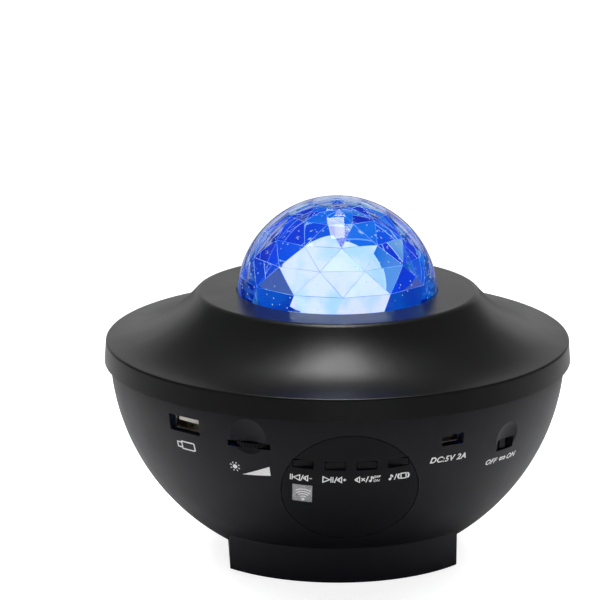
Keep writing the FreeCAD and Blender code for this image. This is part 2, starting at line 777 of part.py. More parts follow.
def make_panel():
    disc = on_panel(group("panel_disc", [rod("panel_rod", "Sizes.panel_radius", "-20", "20")]))
    plate = common("panel_plate", disc, panel_skin("panel_skin", "Sizes.panel_thick", "0"))
    part("control_panel", cut("control_panel", plate, panel_windows("panel_holes")))
    square = panel_box("ir_block", "-Sizes.ir_x", "Sizes.ir_v", "Sizes.ir_width - 2 * Sizes.ir_gap",
                       "Sizes.ir_height - 2 * Sizes.ir_gap",
                       ("-8", "6"))
    lens_skin = panel_skin("ir_skin", "Sizes.bowl_wall", "0.15")
    part("ir_window", common("ir_window", on_panel(group("ir_block_placed", [square])), lens_skin))


def panel_sag(across, up):
    """Formula for how far the bowl's surface falls below the panel's middle plane."""
    return f"(({across})^2 / (2 * {PANEL_MIDDLE_RADIUS}) + ({up})^2 / (2 * Sizes.bowl_curve))"


def make_keys():
    board_face = "(-Sizes.key_board_depth)"
    stem_top = f"({board_face} + Sizes.switch_height + Sizes.stem_height)"
    switches = []
    for name, across in key_places():
        face = f"(-{panel_sag(across, 'Sizes.key_row')} - Sizes.key_recess)"
        far_across = f"(abs({across}) + Sizes.key_width / 2 + Sizes.key_flange_lip)"
        far_up = "(Sizes.key_row + Sizes.key_height / 2 + Sizes.key_flange_lip)"
        flange_front = f"(-{panel_sag(far_across, far_up)} - Sizes.bowl_wall - 0.6)"
        flange_back = f"({flange_front} - Sizes.key_flange)"
        cap = panel_box(f"{name}_cap", across, "Sizes.key_row", "(Sizes.key_width - 2 * Sizes.key_gap)",
                        "(Sizes.key_height - 2 * Sizes.key_gap)", (flange_back, face))
        lip = panel_box(f"{name}_lip", across, "Sizes.key_row",
                        "(Sizes.key_width + 2 * Sizes.key_flange_lip)",
                        "(Sizes.key_height + 2 * Sizes.key_flange_lip)", (flange_back, flange_front))
        plunger = rod(f"{name}_plunger", "Sizes.plunger_radius", f"{stem_top} + Sizes.key_travel + 0.2",
                      flange_back, across,
                      "Sizes.key_row")
        part(name, on_panel(fuse(name, [cap, lip, plunger])))
        case = panel_box(f"{name}_switch", across, "Sizes.key_row", "Sizes.tact_size", "Sizes.tact_size",
                         (board_face, f"{board_face} + Sizes.switch_height"))
        stem = rod(f"{name}_stem", "Sizes.stem_radius", f"{board_face} + Sizes.switch_height", stem_top,
                   across,
                   "Sizes.key_row")
        switches.append(fuse(f"{name}_tact", [case, stem]))
    part("tact_switches", on_panel(group("tact_switches", switches)))
    back = f"({board_face} - Sizes.key_board_thick)"
    margin = "Sizes.key_board_margin"
    plate = block("key_board_plate", ("-Sizes.key_board_half", "Sizes.key_board_half"),
                  (f"Sizes.ir_v - {margin}", f"Sizes.key_row + {margin}"), (back, board_face))
    sides = ("-Sizes.key_screw_x", "Sizes.key_screw_x")
    holes = [rod(f"key_board_hole{index}", "Sizes.key_screw_hole", f"{back} - 1", f"{board_face} + 1", side,
                 "0")
             for index, side in enumerate(sides)]
    part("key_board", on_panel(cut("key_board", plate, group("key_board_holes", holes))))
    receiver = block("ir_case", ("-Sizes.ir_x - 2.6", "-Sizes.ir_x + 2.6"),
                     ("Sizes.ir_v - 2.8", "Sizes.ir_v + 2.8"),
                     (board_face, f"{board_face} + 5"))
    eye = add("Part::Sphere", "ir_eye", {"Radius": "2.2"}, ("-Sizes.ir_x", "Sizes.ir_v", f"{board_face} + 5"))
    part("ir_receiver", on_panel(fuse("ir_receiver", [receiver, eye])))
    screws_in = []
    for index, side in enumerate(sides):
        head = rod(f"key_screw_head{index}", "Sizes.key_screw_head", f"{back} - 1.4", back, side, "0")
        shank = rod(f"key_screw_shank{index}", "Sizes.key_screw_radius", back, f"{board_face} + 5.5", side,
                    "0")
        screws_in.append(fuse(f"key_screw{index}", [head, shank]))
    part("key_board_screws", on_panel(group("key_board_screws", screws_in)))
    spacers = []
    for index, side in enumerate(sides):
        front = f"-{panel_sag(side, '0')} - Sizes.bowl_wall - Sizes.spacer_gap"
        spacers.append(ring(f"key_spacer{index}", "Sizes.spacer_radius", "Sizes.spacer_bore", board_face,
                            front,
                            side, "0"))
    part("key_board_spacers", on_panel(group("key_board_spacers", spacers)))


# Base plate with speaker grille, screws and feet.

def make_base():
    plate = pedestal("base_blank", "Sizes.pedestal_wall + Sizes.plate_gap + Sizes.pedestal_draft", BASE,
                     PLATE_TOP)
    bosses = []
    tools = []
    for index, (sx, sy) in enumerate(((-1, -1), (-1, 1), (1, -1), (1, 1))):
        x, y = f"{sx} * Sizes.speaker_screw", f"{sy} * Sizes.speaker_screw"
        bosses.append(rod(f"speaker_boss{index}", "2.8", PLATE_TOP, f"{PLATE_TOP} + Sizes.gasket_thick", x,
                          y))
        tools.append(rod(f"speaker_pilot{index}", PILOT, f"{BASE} + 0.8", f"{PLATE_TOP} + 3", x, y))
        fx, fy = f"{sx} * Sizes.foot_x", f"{sy} * Sizes.foot_y"
        tools.append(rod(f"foot_recess{index}", "Sizes.foot_radius", "-1", f"{BASE} + Sizes.foot_seat", fx,
                         fy))
    for index, (x, y) in enumerate(base_screw_places()):
        tools.append(rod(f"base_hole{index}", HOLE, f"{BASE} - 1", f"{PLATE_TOP} + 1", x, y))
        sink_top = f"{BASE} + 0.1 + Sizes.screw_head_thick"
        tools.append(rod(f"base_sink{index}", "Sizes.screw_head_radius + 0.3", f"{BASE} - 1", sink_top, x, y))
    for index in range(-4, 5):
        middle = f"{index} * Sizes.slot_pitch"
        half = f"sqrt(15^2 - ({middle})^2)"
        y = (f"{middle} - Sizes.slot_width / 2", f"{middle} + Sizes.slot_width / 2")
        tools.append(block(f"grille_slot{index + 4}", (f"-{half}", half), y,
                           (f"{BASE} - 1", f"{PLATE_TOP} + 1")))
    solid = fuse("base_solid", [plate] + bosses)
    part("base_plate", cut("base_plate", solid, group("base_cutters", tools)))
    screws("base_screws", base_screw_places(), f"{BASE} + 0.1", False, "6.5")
    feet = []
    for index, (sx, sy) in enumerate(((-1, -1), (-1, 1), (1, -1), (1, 1))):
        foot = rod(f"foot{index}", "Sizes.foot_radius - 0.05", "0", f"{BASE} + Sizes.foot_seat",
                   f"{sx} * Sizes.foot_x", f"{sy} * Sizes.foot_y")
        feet.append(foot)
    part("rubber_feet", group("rubber_feet", feet))


def make_speaker():
    face = f"({PLATE_TOP} + Sizes.gasket_thick)"
    flange_top = f"({face} + Sizes.speaker_flange)"
    rear = f"({face} + Sizes.basket_height)"
    basket = turned("speaker_basket", [
        ("Sizes.speaker_bore", face),
        ("Sizes.speaker_half - 0.5", face),
        ("Sizes.speaker_half - 0.5", flange_top),
        ("Sizes.basket_radius + 6", flange_top),
        ("Sizes.basket_radius", rear),
        ("Sizes.basket_radius", f"{rear} + 1.2"),
        ("Sizes.coil_radius + 1.8", f"{rear} + 1.2"),
        ("Sizes.coil_radius + 1.8", rear),
        ("Sizes.basket_radius - 1.4", rear),
        ("Sizes.basket_radius + 4.4", flange_top),
        ("Sizes.speaker_bore", flange_top),
    ])
    square = block("speaker_square", ("-Sizes.speaker_half", "Sizes.speaker_half"),
                   ("-Sizes.speaker_half", "Sizes.speaker_half"), (face, flange_top))
    tools = [rod("speaker_mouth", "Sizes.speaker_bore", f"{face} - 1", f"{flange_top} + 1")]
    places = []
    for index, (sx, sy) in enumerate(((-1, -1), (-1, 1), (1, -1), (1, 1))):
        x, y = f"{sx} * Sizes.speaker_screw", f"{sy} * Sizes.speaker_screw"
        places.append((x, y))
        tools.append(rod(f"speaker_hole{index}", HOLE, f"{face} - 1", f"{flange_top} + 1", x, y))
        tools.append(rod(f"speaker_clear{index}", "Sizes.screw_head_radius + 0.3", flange_top,
                         f"{flange_top} + 4",
                         x, y))
    plate = cut("speaker_plate", fuse("speaker_blank", [square, basket]), group("speaker_cutters", tools))
    part("speaker_frame", plate)
    screws("speaker_screws", places, flange_top, True, "Sizes.speaker_flange + 1.8")
    part("speaker_gasket", ring("speaker_gasket", "Sizes.speaker_bore + 3", "Sizes.speaker_bore - 1",
                                PLATE_TOP, face))
    yoke = f"({rear} + 1.2)"
    magnet = rod("magnet_block", "Sizes.magnet_radius", yoke, f"{yoke} + Sizes.magnet_height")
    gap = ring("magnet_gap", "Sizes.coil_radius + 0.5", "Sizes.coil_radius - 1", f"{yoke} - 1",
               f"{yoke} + 5.3")
    part("speaker_magnet", cut("speaker_magnet", magnet, gap))
    edge = f"({face} + 0.7)"
    part("speaker_cone", turned("speaker_cone", [
        ("0", f"{edge} + 3.7"),
        ("Sizes.coil_radius - 0.5", f"{edge} + 5.5"),
        ("Sizes.cone_radius - 0.6", edge),
        ("Sizes.cone_radius", edge),
        ("Sizes.cone_radius", f"{edge} + Sizes.cone_thick"),
        ("Sizes.coil_radius", f"{edge} + 6.5"),
        ("Sizes.coil_radius", f"{edge} + 12.1"),
        ("Sizes.coil_radius - 0.5", f"{edge} + 12.1"),
        ("Sizes.coil_radius - 0.5", f"{edge} + 6.1"),
        ("0", f"{edge} + 4.3"),
    ]))
    inner = "(Sizes.cone_radius + Sizes.surround_gap)"
    part("speaker_surround", turned("speaker_surround", [
        (inner, edge),
        ("Sizes.speaker_bore", edge),
        ("Sizes.speaker_bore", f"{edge} + Sizes.surround_thick", f"(Sizes.speaker_bore - {inner}) * 0.512"),
        (inner, f"{edge} + Sizes.surround_thick"),
    ]))


# Main board with its sockets, wheel and switch.

# Chips: angle from the front, distance in from the board's inner edge, half width.
CHIPS = ((0, 7, 7), (-18, 12, 4), (18, 12, 5), (60, 15, 4.5), (-60, 15, 3.5))
# Capacitors: angle from the front, distance in from the board's inner edge.
CANS = ((-72, 12), (-82, 20), (72, 12), (84, 20))

def make_board():
    sheet_ring = ring("board_ring", BOARD_OUTER, BOARD_INNER, "Sizes.board_level", BOARD_TOP)
    front = block("board_front", ("-80", "80"), ("-80", "Sizes.board_back"),
                  ("Sizes.board_level - 1", f"{BOARD_TOP} + 1"))
    holes = [rod(f"board_hole{index}", HOLE, "Sizes.board_level - 1", f"{BOARD_TOP} + 1", x, y)
             for index, (x, y) in enumerate(board_posts())]
    key_space = block("board_key_space", ("-24", "24"), ("-80", "-55"),
                      ("Sizes.board_level - 1", f"{BOARD_TOP} + 1"))
    blank = common("board_blank", sheet_ring, front)
    part("main_board", cut("main_board", blank, group("board_holes", holes + [key_space])))
    screws("board_screws", board_posts(), BOARD_TOP, True, "Sizes.board_thick + 6")
    chips = []
    for index, (angle, inset, half) in enumerate(CHIPS):
        circle = f"({BOARD_INNER} + {inset})"
        chip = block(f"chip{index}", (f"-{half}", f"{half}"), (f"-{circle} - {half}", f"-{circle} + {half}"),
                     (BOARD_TOP, f"{BOARD_TOP} + Sizes.chip_height"))
        chips.append(swing(group(f"chip{index}_turned", [chip]), angle))
    part("board_chips", group("board_chips", chips))
    cans = []
    for index, (angle, inset) in enumerate(CANS):
        x, y = around(f"{BOARD_INNER} + {inset}", angle)
        cans.append(rod(f"can{index}", "Sizes.can_radius", BOARD_TOP, f"{BOARD_TOP} + Sizes.can_height", x,
                        y))
    part("board_capacitors", group("board_capacitors", cans))


def socket(name, azimuth, level, width, height, length, wall, mouth):
    """Sheet-metal socket shell with its mouth outward and legs down to the board."""
    back = f"({mouth} - {length})"
    low, high = f"({level} - {height} / 2)", f"({level} + {height} / 2)"
    outside = block(name + "_outside", (f"-{width} / 2", f"{width} / 2"), (f"-{mouth}", f"-{back}"),
                    (low, high))
    hollow = block(name + "_hollow", (f"-{width} / 2 + {wall}", f"{width} / 2 - {wall}"),
                   (f"-{mouth} - 1", f"-{back} - {wall}"), (f"{low} + {wall}", f"{high} - {wall}"))
    tube = cut(name + "_tube", outside, hollow)
    legs = []
    for index, side in enumerate((-1, 1)):
        face = f"({side} * {width} / 2)"
        inward = (f"{face} - {wall}", face) if side > 0 else (face, f"{face} + {wall}")
        legs.append(block(f"{name}_leg{index}", inward, (f"-{back} - 4", f"-{back} - 1.5"),
                          (BOARD_TOP, f"{low} + 1")))
    return swing(fuse(name, [tube] + legs), azimuth)


def make_sockets():
    part("usb_shell", socket("usb_shell", "-Sizes.usb_azimuth", "Sizes.usb_level", "Sizes.usb_shell_width",
                             "Sizes.usb_shell_height", "Sizes.usb_shell_length", "Sizes.usb_shell_wall",
                             USB_MOUTH))
    back = f"({USB_MOUTH} - Sizes.usb_shell_length + Sizes.usb_shell_wall)"
    top = "(Sizes.usb_level + Sizes.usb_shell_height / 2 - Sizes.usb_shell_wall - 0.35)"
    half = "(Sizes.usb_tongue_width / 2)"
    under = f"({top} - Sizes.usb_tongue_thick)"
    inner_half = "(Sizes.usb_shell_width / 2 - Sizes.usb_shell_wall - 0.02)"
    blade = block("usb_blade", (f"-{half}", half), (f"-{USB_MOUTH} + 1", f"-{back}"), (under, top))
    heel_low = "(Sizes.usb_level - Sizes.usb_shell_height / 2 + Sizes.usb_shell_wall + 0.02)"
    heel_top = "(Sizes.usb_level + Sizes.usb_shell_height / 2 - Sizes.usb_shell_wall - 0.02)"
    heel = block("usb_heel", (f"-{inner_half}", inner_half), (f"-{back} - 3", f"-{back}"),
                 (heel_low, heel_top))
    part("usb_tongue", swing(fuse("usb_tongue", [blade, heel]), "-Sizes.usb_azimuth"))
    contacts = []
    for index in range(4):
        middle = f"({index} - 1.5) * 2.2"
        contacts.append(block(f"usb_contact{index}", (f"{middle} - 0.5", f"{middle} + 0.5"),
                              (f"-{USB_MOUTH} + 1.8", f"-{back} - 3"), (f"{under} - 0.25", under)))
    part("usb_contacts", swing(group("usb_contacts", contacts), "-Sizes.usb_azimuth"))
    part("dc_socket_shell", socket("dc_socket_shell", "Sizes.dc_azimuth", "Sizes.dc_level",
                                   "Sizes.dc_shell_width",
                                   "Sizes.dc_shell_height", "Sizes.dc_shell_length", "Sizes.dc_shell_wall",
                                   DC_MOUTH))
    dc_back = f"({DC_MOUTH} - Sizes.dc_shell_length + Sizes.dc_shell_wall)"
    blade = block("dc_blade", ("-Sizes.dc_tongue_width / 2", "Sizes.dc_tongue_width / 2"),
                  (f"-{DC_MOUTH} + 0.8", f"-{dc_back}"),
                  ("Sizes.dc_level - Sizes.dc_tongue_thick / 2 + 0.3",
                   "Sizes.dc_level + Sizes.dc_tongue_thick / 2 + 0.3"))
    part("dc_socket_tongue", swing(group("dc_socket_tongue", [blade]), "Sizes.dc_azimuth"))


def make_switch():
    wall_face = f"({bowl_radius('Sizes.switch_level')} - Sizes.bowl_wall - 0.9)"
    body_back = f"({wall_face} - 5)"
    low = "(Sizes.switch_level - 2.6)"
    case = block("switch_case", ("-5.4", "5.4"), (f"-{wall_face}", f"-{body_back}"),
                 (low, "Sizes.board_level"))
    slot = block("switch_slot", ("-(Sizes.knob_width / 2 + Sizes.knob_travel + 0.3)",
                                 "Sizes.knob_width / 2 + 0.3"),
                 (f"-{wall_face} - 1", f"-{wall_face} + 2"),
                 ("Sizes.switch_level - 1.3", "Sizes.switch_level + 1.3"))
    part("power_switch_body", swing(cut("power_switch_body", case, slot), "Sizes.switch_azimuth"))
    front = f"({bowl_radius('Sizes.switch_level')} - Sizes.knob_recess - Sizes.switch_dish_depth)"
    knob = block("switch_knob", ("-Sizes.knob_width / 2", "Sizes.knob_width / 2"),
                 (f"-{front}", f"-{wall_face} - 0.2"),
                 ("Sizes.switch_level - Sizes.knob_height / 2", "Sizes.switch_level + Sizes.knob_height / 2"))
    stem = block("switch_stem", ("-Sizes.knob_width / 2", "Sizes.knob_width / 2"),
                 (f"-{wall_face} - 0.3", f"-{wall_face} + 1.7"),
                 ("Sizes.switch_level - 1", "Sizes.switch_level + 1"))
    part("power_switch_knob", swing(fuse("power_switch_knob", [knob, stem]), "Sizes.switch_azimuth"))


def make_wheel():
    reach = f"({bowl_radius('Sizes.wheel_level')} + Sizes.wheel_proud - Sizes.wheel_radius)"
    low = "(Sizes.wheel_level - Sizes.wheel_thick / 2)"
    high = "(Sizes.wheel_level + Sizes.wheel_thick / 2)"
    x, y = "0", f"-{reach}"
    disc = ring("wheel_disc", "Sizes.wheel_radius", "Sizes.wheel_bore", low, high, x, y)
    grooves = []
    count = int(number("Sizes.knurls"))
    for index in range(count):
        gx = f"Sizes.wheel_radius * cos({index} * 360 / {count})"
        gy = f"-{reach} + Sizes.wheel_radius * sin({index} * 360 / {count})"
        grooves.append(rod(f"knurl{index}", "Sizes.knurl_radius", f"{low} - 1", f"{high} + 1", gx, gy))
    part("brightness_wheel", swing(cut("brightness_wheel", disc, group("knurl_grooves", grooves)),
                                   "-Sizes.wheel_azimuth"))
    pin = rod("pot_pin", "Sizes.wheel_bore - Sizes.running_gap", f"{low} - 0.4", f"{high} + 1", x, y)
    can = rod("pot_can", "5", f"{high} + 0.3", f"{high} + 2.9", x, y)
    back = f"(-{reach} + Sizes.wheel_radius)"
    arm = block("pot_arm", ("-3", "3"), (f"-{reach} + 3", f"{back} + 2.2"),
                (f"{high} + 0.3", f"{high} + 2.9"))
    leg = block("pot_leg", ("-3", "3"), (f"{back} + 0.7", f"{back} + 2.2"), (BOARD_TOP, f"{high} + 2.9"))
    part("wheel_potentiometer", swing(fuse("wheel_potentiometer", [pin, can, arm, leg]),
                                      "-Sizes.wheel_azimuth"))


# Light engine: deck, lamps, motor, gears, lens, star grating and laser.

def make_deck():
    disc = rod("deck_disc", DECK_RADIUS, DECK_BOTTOM, "Sizes.deck_top")
    tools = [
        rod("deck_motor_hole", "Sizes.shaft_radius + 0.6", f"{DECK_BOTTOM} - 1", "Sizes.deck_top + 1",
            PINION_X, PINION_Y),
        rod("deck_laser_hole", "Sizes.laser_radius + 0.2", f"{DECK_BOTTOM} - 1", "Sizes.deck_top + 1", "0",
            GRATING_DISTANCE),
    ]
    places = [around(DECK_SCREW_CIRCLE, angle) for angle in QUARTERS]
    for index, (x, y) in enumerate(places):
        tools.append(rod(f"deck_hole{index}", HOLE, f"{DECK_BOTTOM} - 1", "Sizes.deck_top + 1", x, y))
    part("light_deck", cut("light_deck", disc, group("deck_cutters", tools)))
    screws("deck_screws", places, f"({DECK_BOTTOM} - Sizes.screw_head_thick)", False, "Sizes.deck_thick + 5")
    base_low = f"({DECK_BOTTOM} - Sizes.sink_base)"
    x = ("Sizes.sink_centre_x - Sizes.sink_half", "Sizes.sink_centre_x + Sizes.sink_half")
    solids = [block("sink_plate", x, ("Sizes.sink_front", "Sizes.sink_back"), (base_low, DECK_BOTTOM))]
    count = int(number("Sizes.fin_count"))
    for index in range(count):
        step = f"(2 * Sizes.sink_half - Sizes.fin_thick) / {count - 1}"
        left = f"(Sizes.sink_centre_x - Sizes.sink_half + {index} * {step})"
        solids.append(block(f"fin{index}", (left, f"{left} + Sizes.fin_thick"),
                            ("Sizes.sink_front", "Sizes.sink_back"),
                            (f"{base_low} - Sizes.fin_height", f"{base_low} + 1")))
    part("heat_sink", fuse("heat_sink", solids))


def make_lamps():
    top = "(Sizes.deck_top + Sizes.led_board_thick)"
    part("led_board", group("led_board", [rod("led_board_disc", "Sizes.led_board_radius", "Sizes.deck_top",
                                              top)]))
    chips = []
    for index, angle in enumerate(QUARTERS):
        x, y = around("Sizes.led_circle", angle)
        chips.append(block(f"led{index}", (f"{x} - Sizes.led_size / 2", f"{x} + Sizes.led_size / 2"),
                           (f"{y} - Sizes.led_size / 2", f"{y} + Sizes.led_size / 2"),
                           (top, f"{top} + Sizes.led_height")))
    part("led_emitters", group("led_emitters", chips))
    seat = f"({top} + Sizes.led_height + 0.3)"
    part("led_lens", turned("led_lens", [
        ("0", seat),
        ("Sizes.led_board_radius + 0.1", seat),
        ("Sizes.led_board_radius + 0.1", f"{seat} + 1", cap_curve("Sizes.led_board_radius + 0.1", "5")),
        ("0", f"{seat} + 6"),
    ]))
    sleeve_outer = "(Sizes.ring_bore - Sizes.running_gap)"
    sleeve_inner = f"({sleeve_outer} - Sizes.guide_wall)"
    shoulder = "(Sizes.gear_level - Sizes.gear_play)"
    part("gear_guide", turned("gear_guide", [
        (sleeve_inner, "Sizes.deck_top"),
        ("Sizes.guide_shoulder", "Sizes.deck_top"),
        ("Sizes.guide_shoulder", shoulder),
        (sleeve_outer, shoulder),
        (sleeve_outer, "Sizes.gear_level + Sizes.ring_gear_thick - 0.3"),
        (sleeve_inner, "Sizes.gear_level + Sizes.ring_gear_thick - 0.3"),
    ]))


def make_gears():
    bore = rod("ring_gear_bore", "Sizes.ring_bore", "Sizes.gear_level - 1", "Sizes.gear_level + 10")
    blank = toothed_disc("ring_blank", "Sizes.ring_teeth", 0, "Sizes.ring_gear_thick")
    part("ripple_ring_gear", cut("ripple_ring_gear", blank, bore))
    seat = "(Sizes.gear_level + Sizes.ring_gear_thick)"
    inner = "(Sizes.lens_radius - Sizes.lens_wall)"
    crown = "(Sizes.lens_height - Sizes.lens_skirt)"
    inner_crown = f"({crown} - Sizes.lens_wall)"
    part("ripple_lens", turned("ripple_lens", [
        ("Sizes.ring_bore + 0.6", seat),
        ("Sizes.lens_radius", seat),
        ("Sizes.lens_radius", f"{seat} + Sizes.lens_skirt", cap_curve("Sizes.lens_radius", crown)),
        ("0", f"{seat} + Sizes.lens_height"),
        ("0", f"{seat} + Sizes.lens_height - Sizes.lens_wall", "-" + cap_curve(inner, inner_crown)),
        (inner, f"{seat} + Sizes.lens_skirt"),
        (inner, f"{seat} + Sizes.lens_base"),
        ("Sizes.ring_bore + 0.6", f"{seat} + Sizes.lens_base"),
    ]))
    phase = mesh_phase(number("Sizes.pinion_azimuth"), "Sizes.pinion_teeth")
    blank = toothed_disc("pinion_blank", "Sizes.pinion_teeth", phase, "Sizes.small_gear_thick", PINION_X,
                         PINION_Y)
    bore = rod("pinion_bore", "Sizes.shaft_radius", "Sizes.gear_level - 1", "Sizes.gear_level + 10", PINION_X,
               PINION_Y)
    part("motor_pinion", cut("motor_pinion", blank, bore))
    part("motor_shaft", group("motor_shaft", [
        rod("shaft_rod", "Sizes.shaft_radius", f"{DECK_BOTTOM} - 0.3",
            "Sizes.gear_level + Sizes.small_gear_thick", PINION_X, PINION_Y)]))
    motor = rod("motor_can", "Sizes.motor_radius", f"{DECK_BOTTOM} - Sizes.motor_length", DECK_BOTTOM,
                PINION_X, PINION_Y)
    recess = rod("motor_mouth", "Sizes.shaft_radius + 0.05", f"{DECK_BOTTOM} - 1", f"{DECK_BOTTOM} + 1",
                 PINION_X, PINION_Y)
    part("motor_body", cut("motor_body", motor, recess))
    phase = mesh_phase(90, "Sizes.grating_teeth")
    x, y = "0", GRATING_DISTANCE
    blank = toothed_disc("grating_blank", "Sizes.grating_teeth", phase, "Sizes.small_gear_thick", x, y)
    ledge = "(Sizes.gear_level + Sizes.small_gear_thick - Sizes.grating_glass_thick)"
    tools = group("grating_bores", [
        rod("grating_bore", "Sizes.grating_bore", "Sizes.gear_level - 1", "Sizes.gear_level + 10", x, y),
        rod("grating_pocket", "Sizes.grating_glass_radius + 0.05", ledge, "Sizes.gear_level + 10", x, y),
    ])
    part("grating_gear", cut("grating_gear", blank, tools))
    part("star_grating", group("star_grating", [
        rod("grating_glass", "Sizes.grating_glass_radius", ledge, f"{ledge} + Sizes.grating_glass_thick", x,
            y)]))
    sleeve = "(Sizes.grating_bore - Sizes.running_gap)"
    collar = ring("grating_collar", "Sizes.grating_bore + 1.2", "Sizes.grating_sleeve_bore", "Sizes.deck_top",
                  "Sizes.gear_level - Sizes.gear_play", x, y)
    tube = ring("grating_tube", sleeve, "Sizes.grating_sleeve_bore", "Sizes.gear_level - Sizes.gear_play - 1",
                f"{ledge} - Sizes.gear_play", x, y)
    rim = ring("grating_rim", "Sizes.laser_radius + 2.4", "Sizes.grating_sleeve_bore", "Sizes.deck_top",
               "Sizes.deck_top + 1.2", x, y)
    part("grating_guide", fuse("grating_guide", [collar, tube, rim]))
    laser = rod("laser_can", "Sizes.laser_radius", "Sizes.deck_top - Sizes.laser_length",
                "Sizes.deck_top - 0.2", x, y)
    aperture = rod("laser_aperture", "1.5", "Sizes.deck_top - 3", "Sizes.deck_top + 1", x, y)
    part("laser_module", cut("laser_module", laser, aperture))
    part("laser_holder", ring("laser_holder", "Sizes.laser_radius + Sizes.holder_wall",
                              "Sizes.laser_radius + 0.05",
                              f"{DECK_BOTTOM} - Sizes.holder_length", DECK_BOTTOM, x, y))


def write_parts():
    doc.recompute()
    for item in doc.Objects:
        if "Invalid" in item.State or "Error" in item.State:
            raise SystemExit(f"{item.Name}: {item.State}")
    os.makedirs("parts", exist_ok=True)
    for name, piece in made.items():
        shape = piece.Shape
        if shape.isNull() or not shape.isValid() or not shape.Solids:
            raise SystemExit(f"{name}: shape is not a valid solid")
        shape.exportStep(f"parts/{name}.step")
        print(name, len(shape.Solids), round(shape.Volume, 1))


make_cover()
make_cover_screws()
make_dome()
make_clamp_ring()
make_bowl()
make_panel()
make_keys()
make_base()
make_speaker()
make_board()
make_sockets()
make_switch()
make_wheel()
make_deck()
make_lamps()
make_gears()
write_parts()
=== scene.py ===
import json
import math

import bmesh
import bpy
from mathutils import Matrix, Vector


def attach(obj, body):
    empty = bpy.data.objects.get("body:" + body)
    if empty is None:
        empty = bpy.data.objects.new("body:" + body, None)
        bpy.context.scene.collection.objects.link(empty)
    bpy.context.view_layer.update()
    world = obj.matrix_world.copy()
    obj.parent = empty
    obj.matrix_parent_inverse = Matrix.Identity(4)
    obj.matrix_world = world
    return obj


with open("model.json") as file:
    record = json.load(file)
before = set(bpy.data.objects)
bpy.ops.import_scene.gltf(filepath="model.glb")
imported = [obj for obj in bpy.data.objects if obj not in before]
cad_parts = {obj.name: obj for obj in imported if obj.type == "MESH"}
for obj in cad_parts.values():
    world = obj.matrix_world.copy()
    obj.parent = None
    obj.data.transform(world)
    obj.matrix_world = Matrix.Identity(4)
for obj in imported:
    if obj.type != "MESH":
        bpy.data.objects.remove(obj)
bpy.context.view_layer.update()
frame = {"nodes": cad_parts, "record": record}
nodes = frame["nodes"]

MM = 0.001

# Shapes repeated from the model, in millimetres and degrees.
RIM_LEVEL = 76.3
BOWL_OFFSET = 3.9
BOWL_CURVE = 78.7
BOWL_LEVEL = 72.3
PANEL_LEVEL = 39.79
DOME_CENTRE = 90.85
DOME_INNER_RADIUS = 34.15
DOME_SIDES = 12
FACET_RINGS = (77, 62, 47, 30, 15)

# The photograph's camera: a long lens, a little above the rim, turned a little to the left.
CAMERA_AZIMUTH = -2.7
CAMERA_ELEVATION = 14.45
CAMERA_DISTANCE = 1100.0
CAMERA_ROLL = -0.13
CAMERA_OFFSET = (-13.51, 12.61)
CAMERA_LENS = 181.5
SENSOR_WIDTH = 36


def make_camera():
    turn = math.radians(CAMERA_AZIMUTH)
    lift = math.radians(CAMERA_ELEVATION)
    back = Vector((math.sin(turn) * math.cos(lift), -math.cos(turn) * math.cos(lift), math.sin(lift)))
    right = Vector((math.cos(turn), math.sin(turn), 0))
    up = back.cross(right)
    spot = Vector((0, 0, RIM_LEVEL)) + back * CAMERA_DISTANCE
    spot += right * CAMERA_OFFSET[0]
    spot += up * CAMERA_OFFSET[1]
    roll = math.radians(CAMERA_ROLL)
    tilted_right = right * math.cos(roll) + up * math.sin(roll)
    tilted_up = back.cross(tilted_right)
    data = bpy.data.cameras.new("camera")
    data.lens = CAMERA_LENS
    data.sensor_width = SENSOR_WIDTH
    data.clip_start = 0.05
    camera = bpy.data.objects.new("camera", data)
    rotation = Matrix((tilted_right, tilted_up, back)).transposed()
    camera.matrix_world = Matrix.Translation(spot * MM) @ rotation.to_4x4()
    bpy.context.scene.collection.objects.link(camera)
    bpy.context.scene.camera = camera


# Light and floor, in metres and watts

WORLD_COLOUR = (0.9, 0.93, 1.0, 1)
WORLD_STRENGTH = 0.07
FLOOR_HALF = 4.0
FLOOR_PAINT = (0.45, 0.45, 0.46, 1)
FLOOR_ROUGHNESS = 0.28
FLOOR_GLOW = (0.86, 0.86, 0.86, 1)


def soft_box(name, place, target, size, power, mirrored=True):
    """Rectangular soft light; one that isn't mirrored lights surfaces but shows in no reflection."""
    data = bpy.data.lights.new(name, "AREA")
    data.shape = "RECTANGLE"
    data.size, data.size_y = size
    data.energy = power
    lamp = bpy.data.objects.new(name, data)
    lamp.visible_glossy = mirrored
    lamp.visible_transmission = mirrored
    lamp.location = place
    lamp.rotation_euler = (Vector(target) - Vector(place)).to_track_quat("-Z", "Y").to_euler()
    bpy.context.scene.collection.objects.link(lamp)


def make_world():
    """Faint grey light all round, and plain white where the camera looks past the object."""
    world = bpy.data.worlds.new("studio")
    world.use_nodes = True
    tree = world.node_tree
    tree.nodes.clear()
    fill = tree.nodes.new("ShaderNodeBackground")
    fill.inputs["Color"].default_value = WORLD_COLOUR
    fill.inputs["Strength"].default_value = WORLD_STRENGTH
    white = tree.nodes.new("ShaderNodeBackground")
    white.inputs["Color"].default_value = (1, 1, 1, 1)
    white.inputs["Strength"].default_value = 1.0
    path = tree.nodes.new("ShaderNodeLightPath")
    mix = tree.nodes.new("ShaderNodeMixShader")
    tree.links.new(path.outputs["Is Camera Ray"], mix.inputs["Fac"])
    tree.links.new(fill.outputs[0], mix.inputs[1])
    tree.links.new(white.outputs[0], mix.inputs[2])
    out = tree.nodes.new("ShaderNodeOutputWorld")
    tree.links.new(mix.outputs[0], out.inputs["Surface"])
    bpy.context.scene.world = world


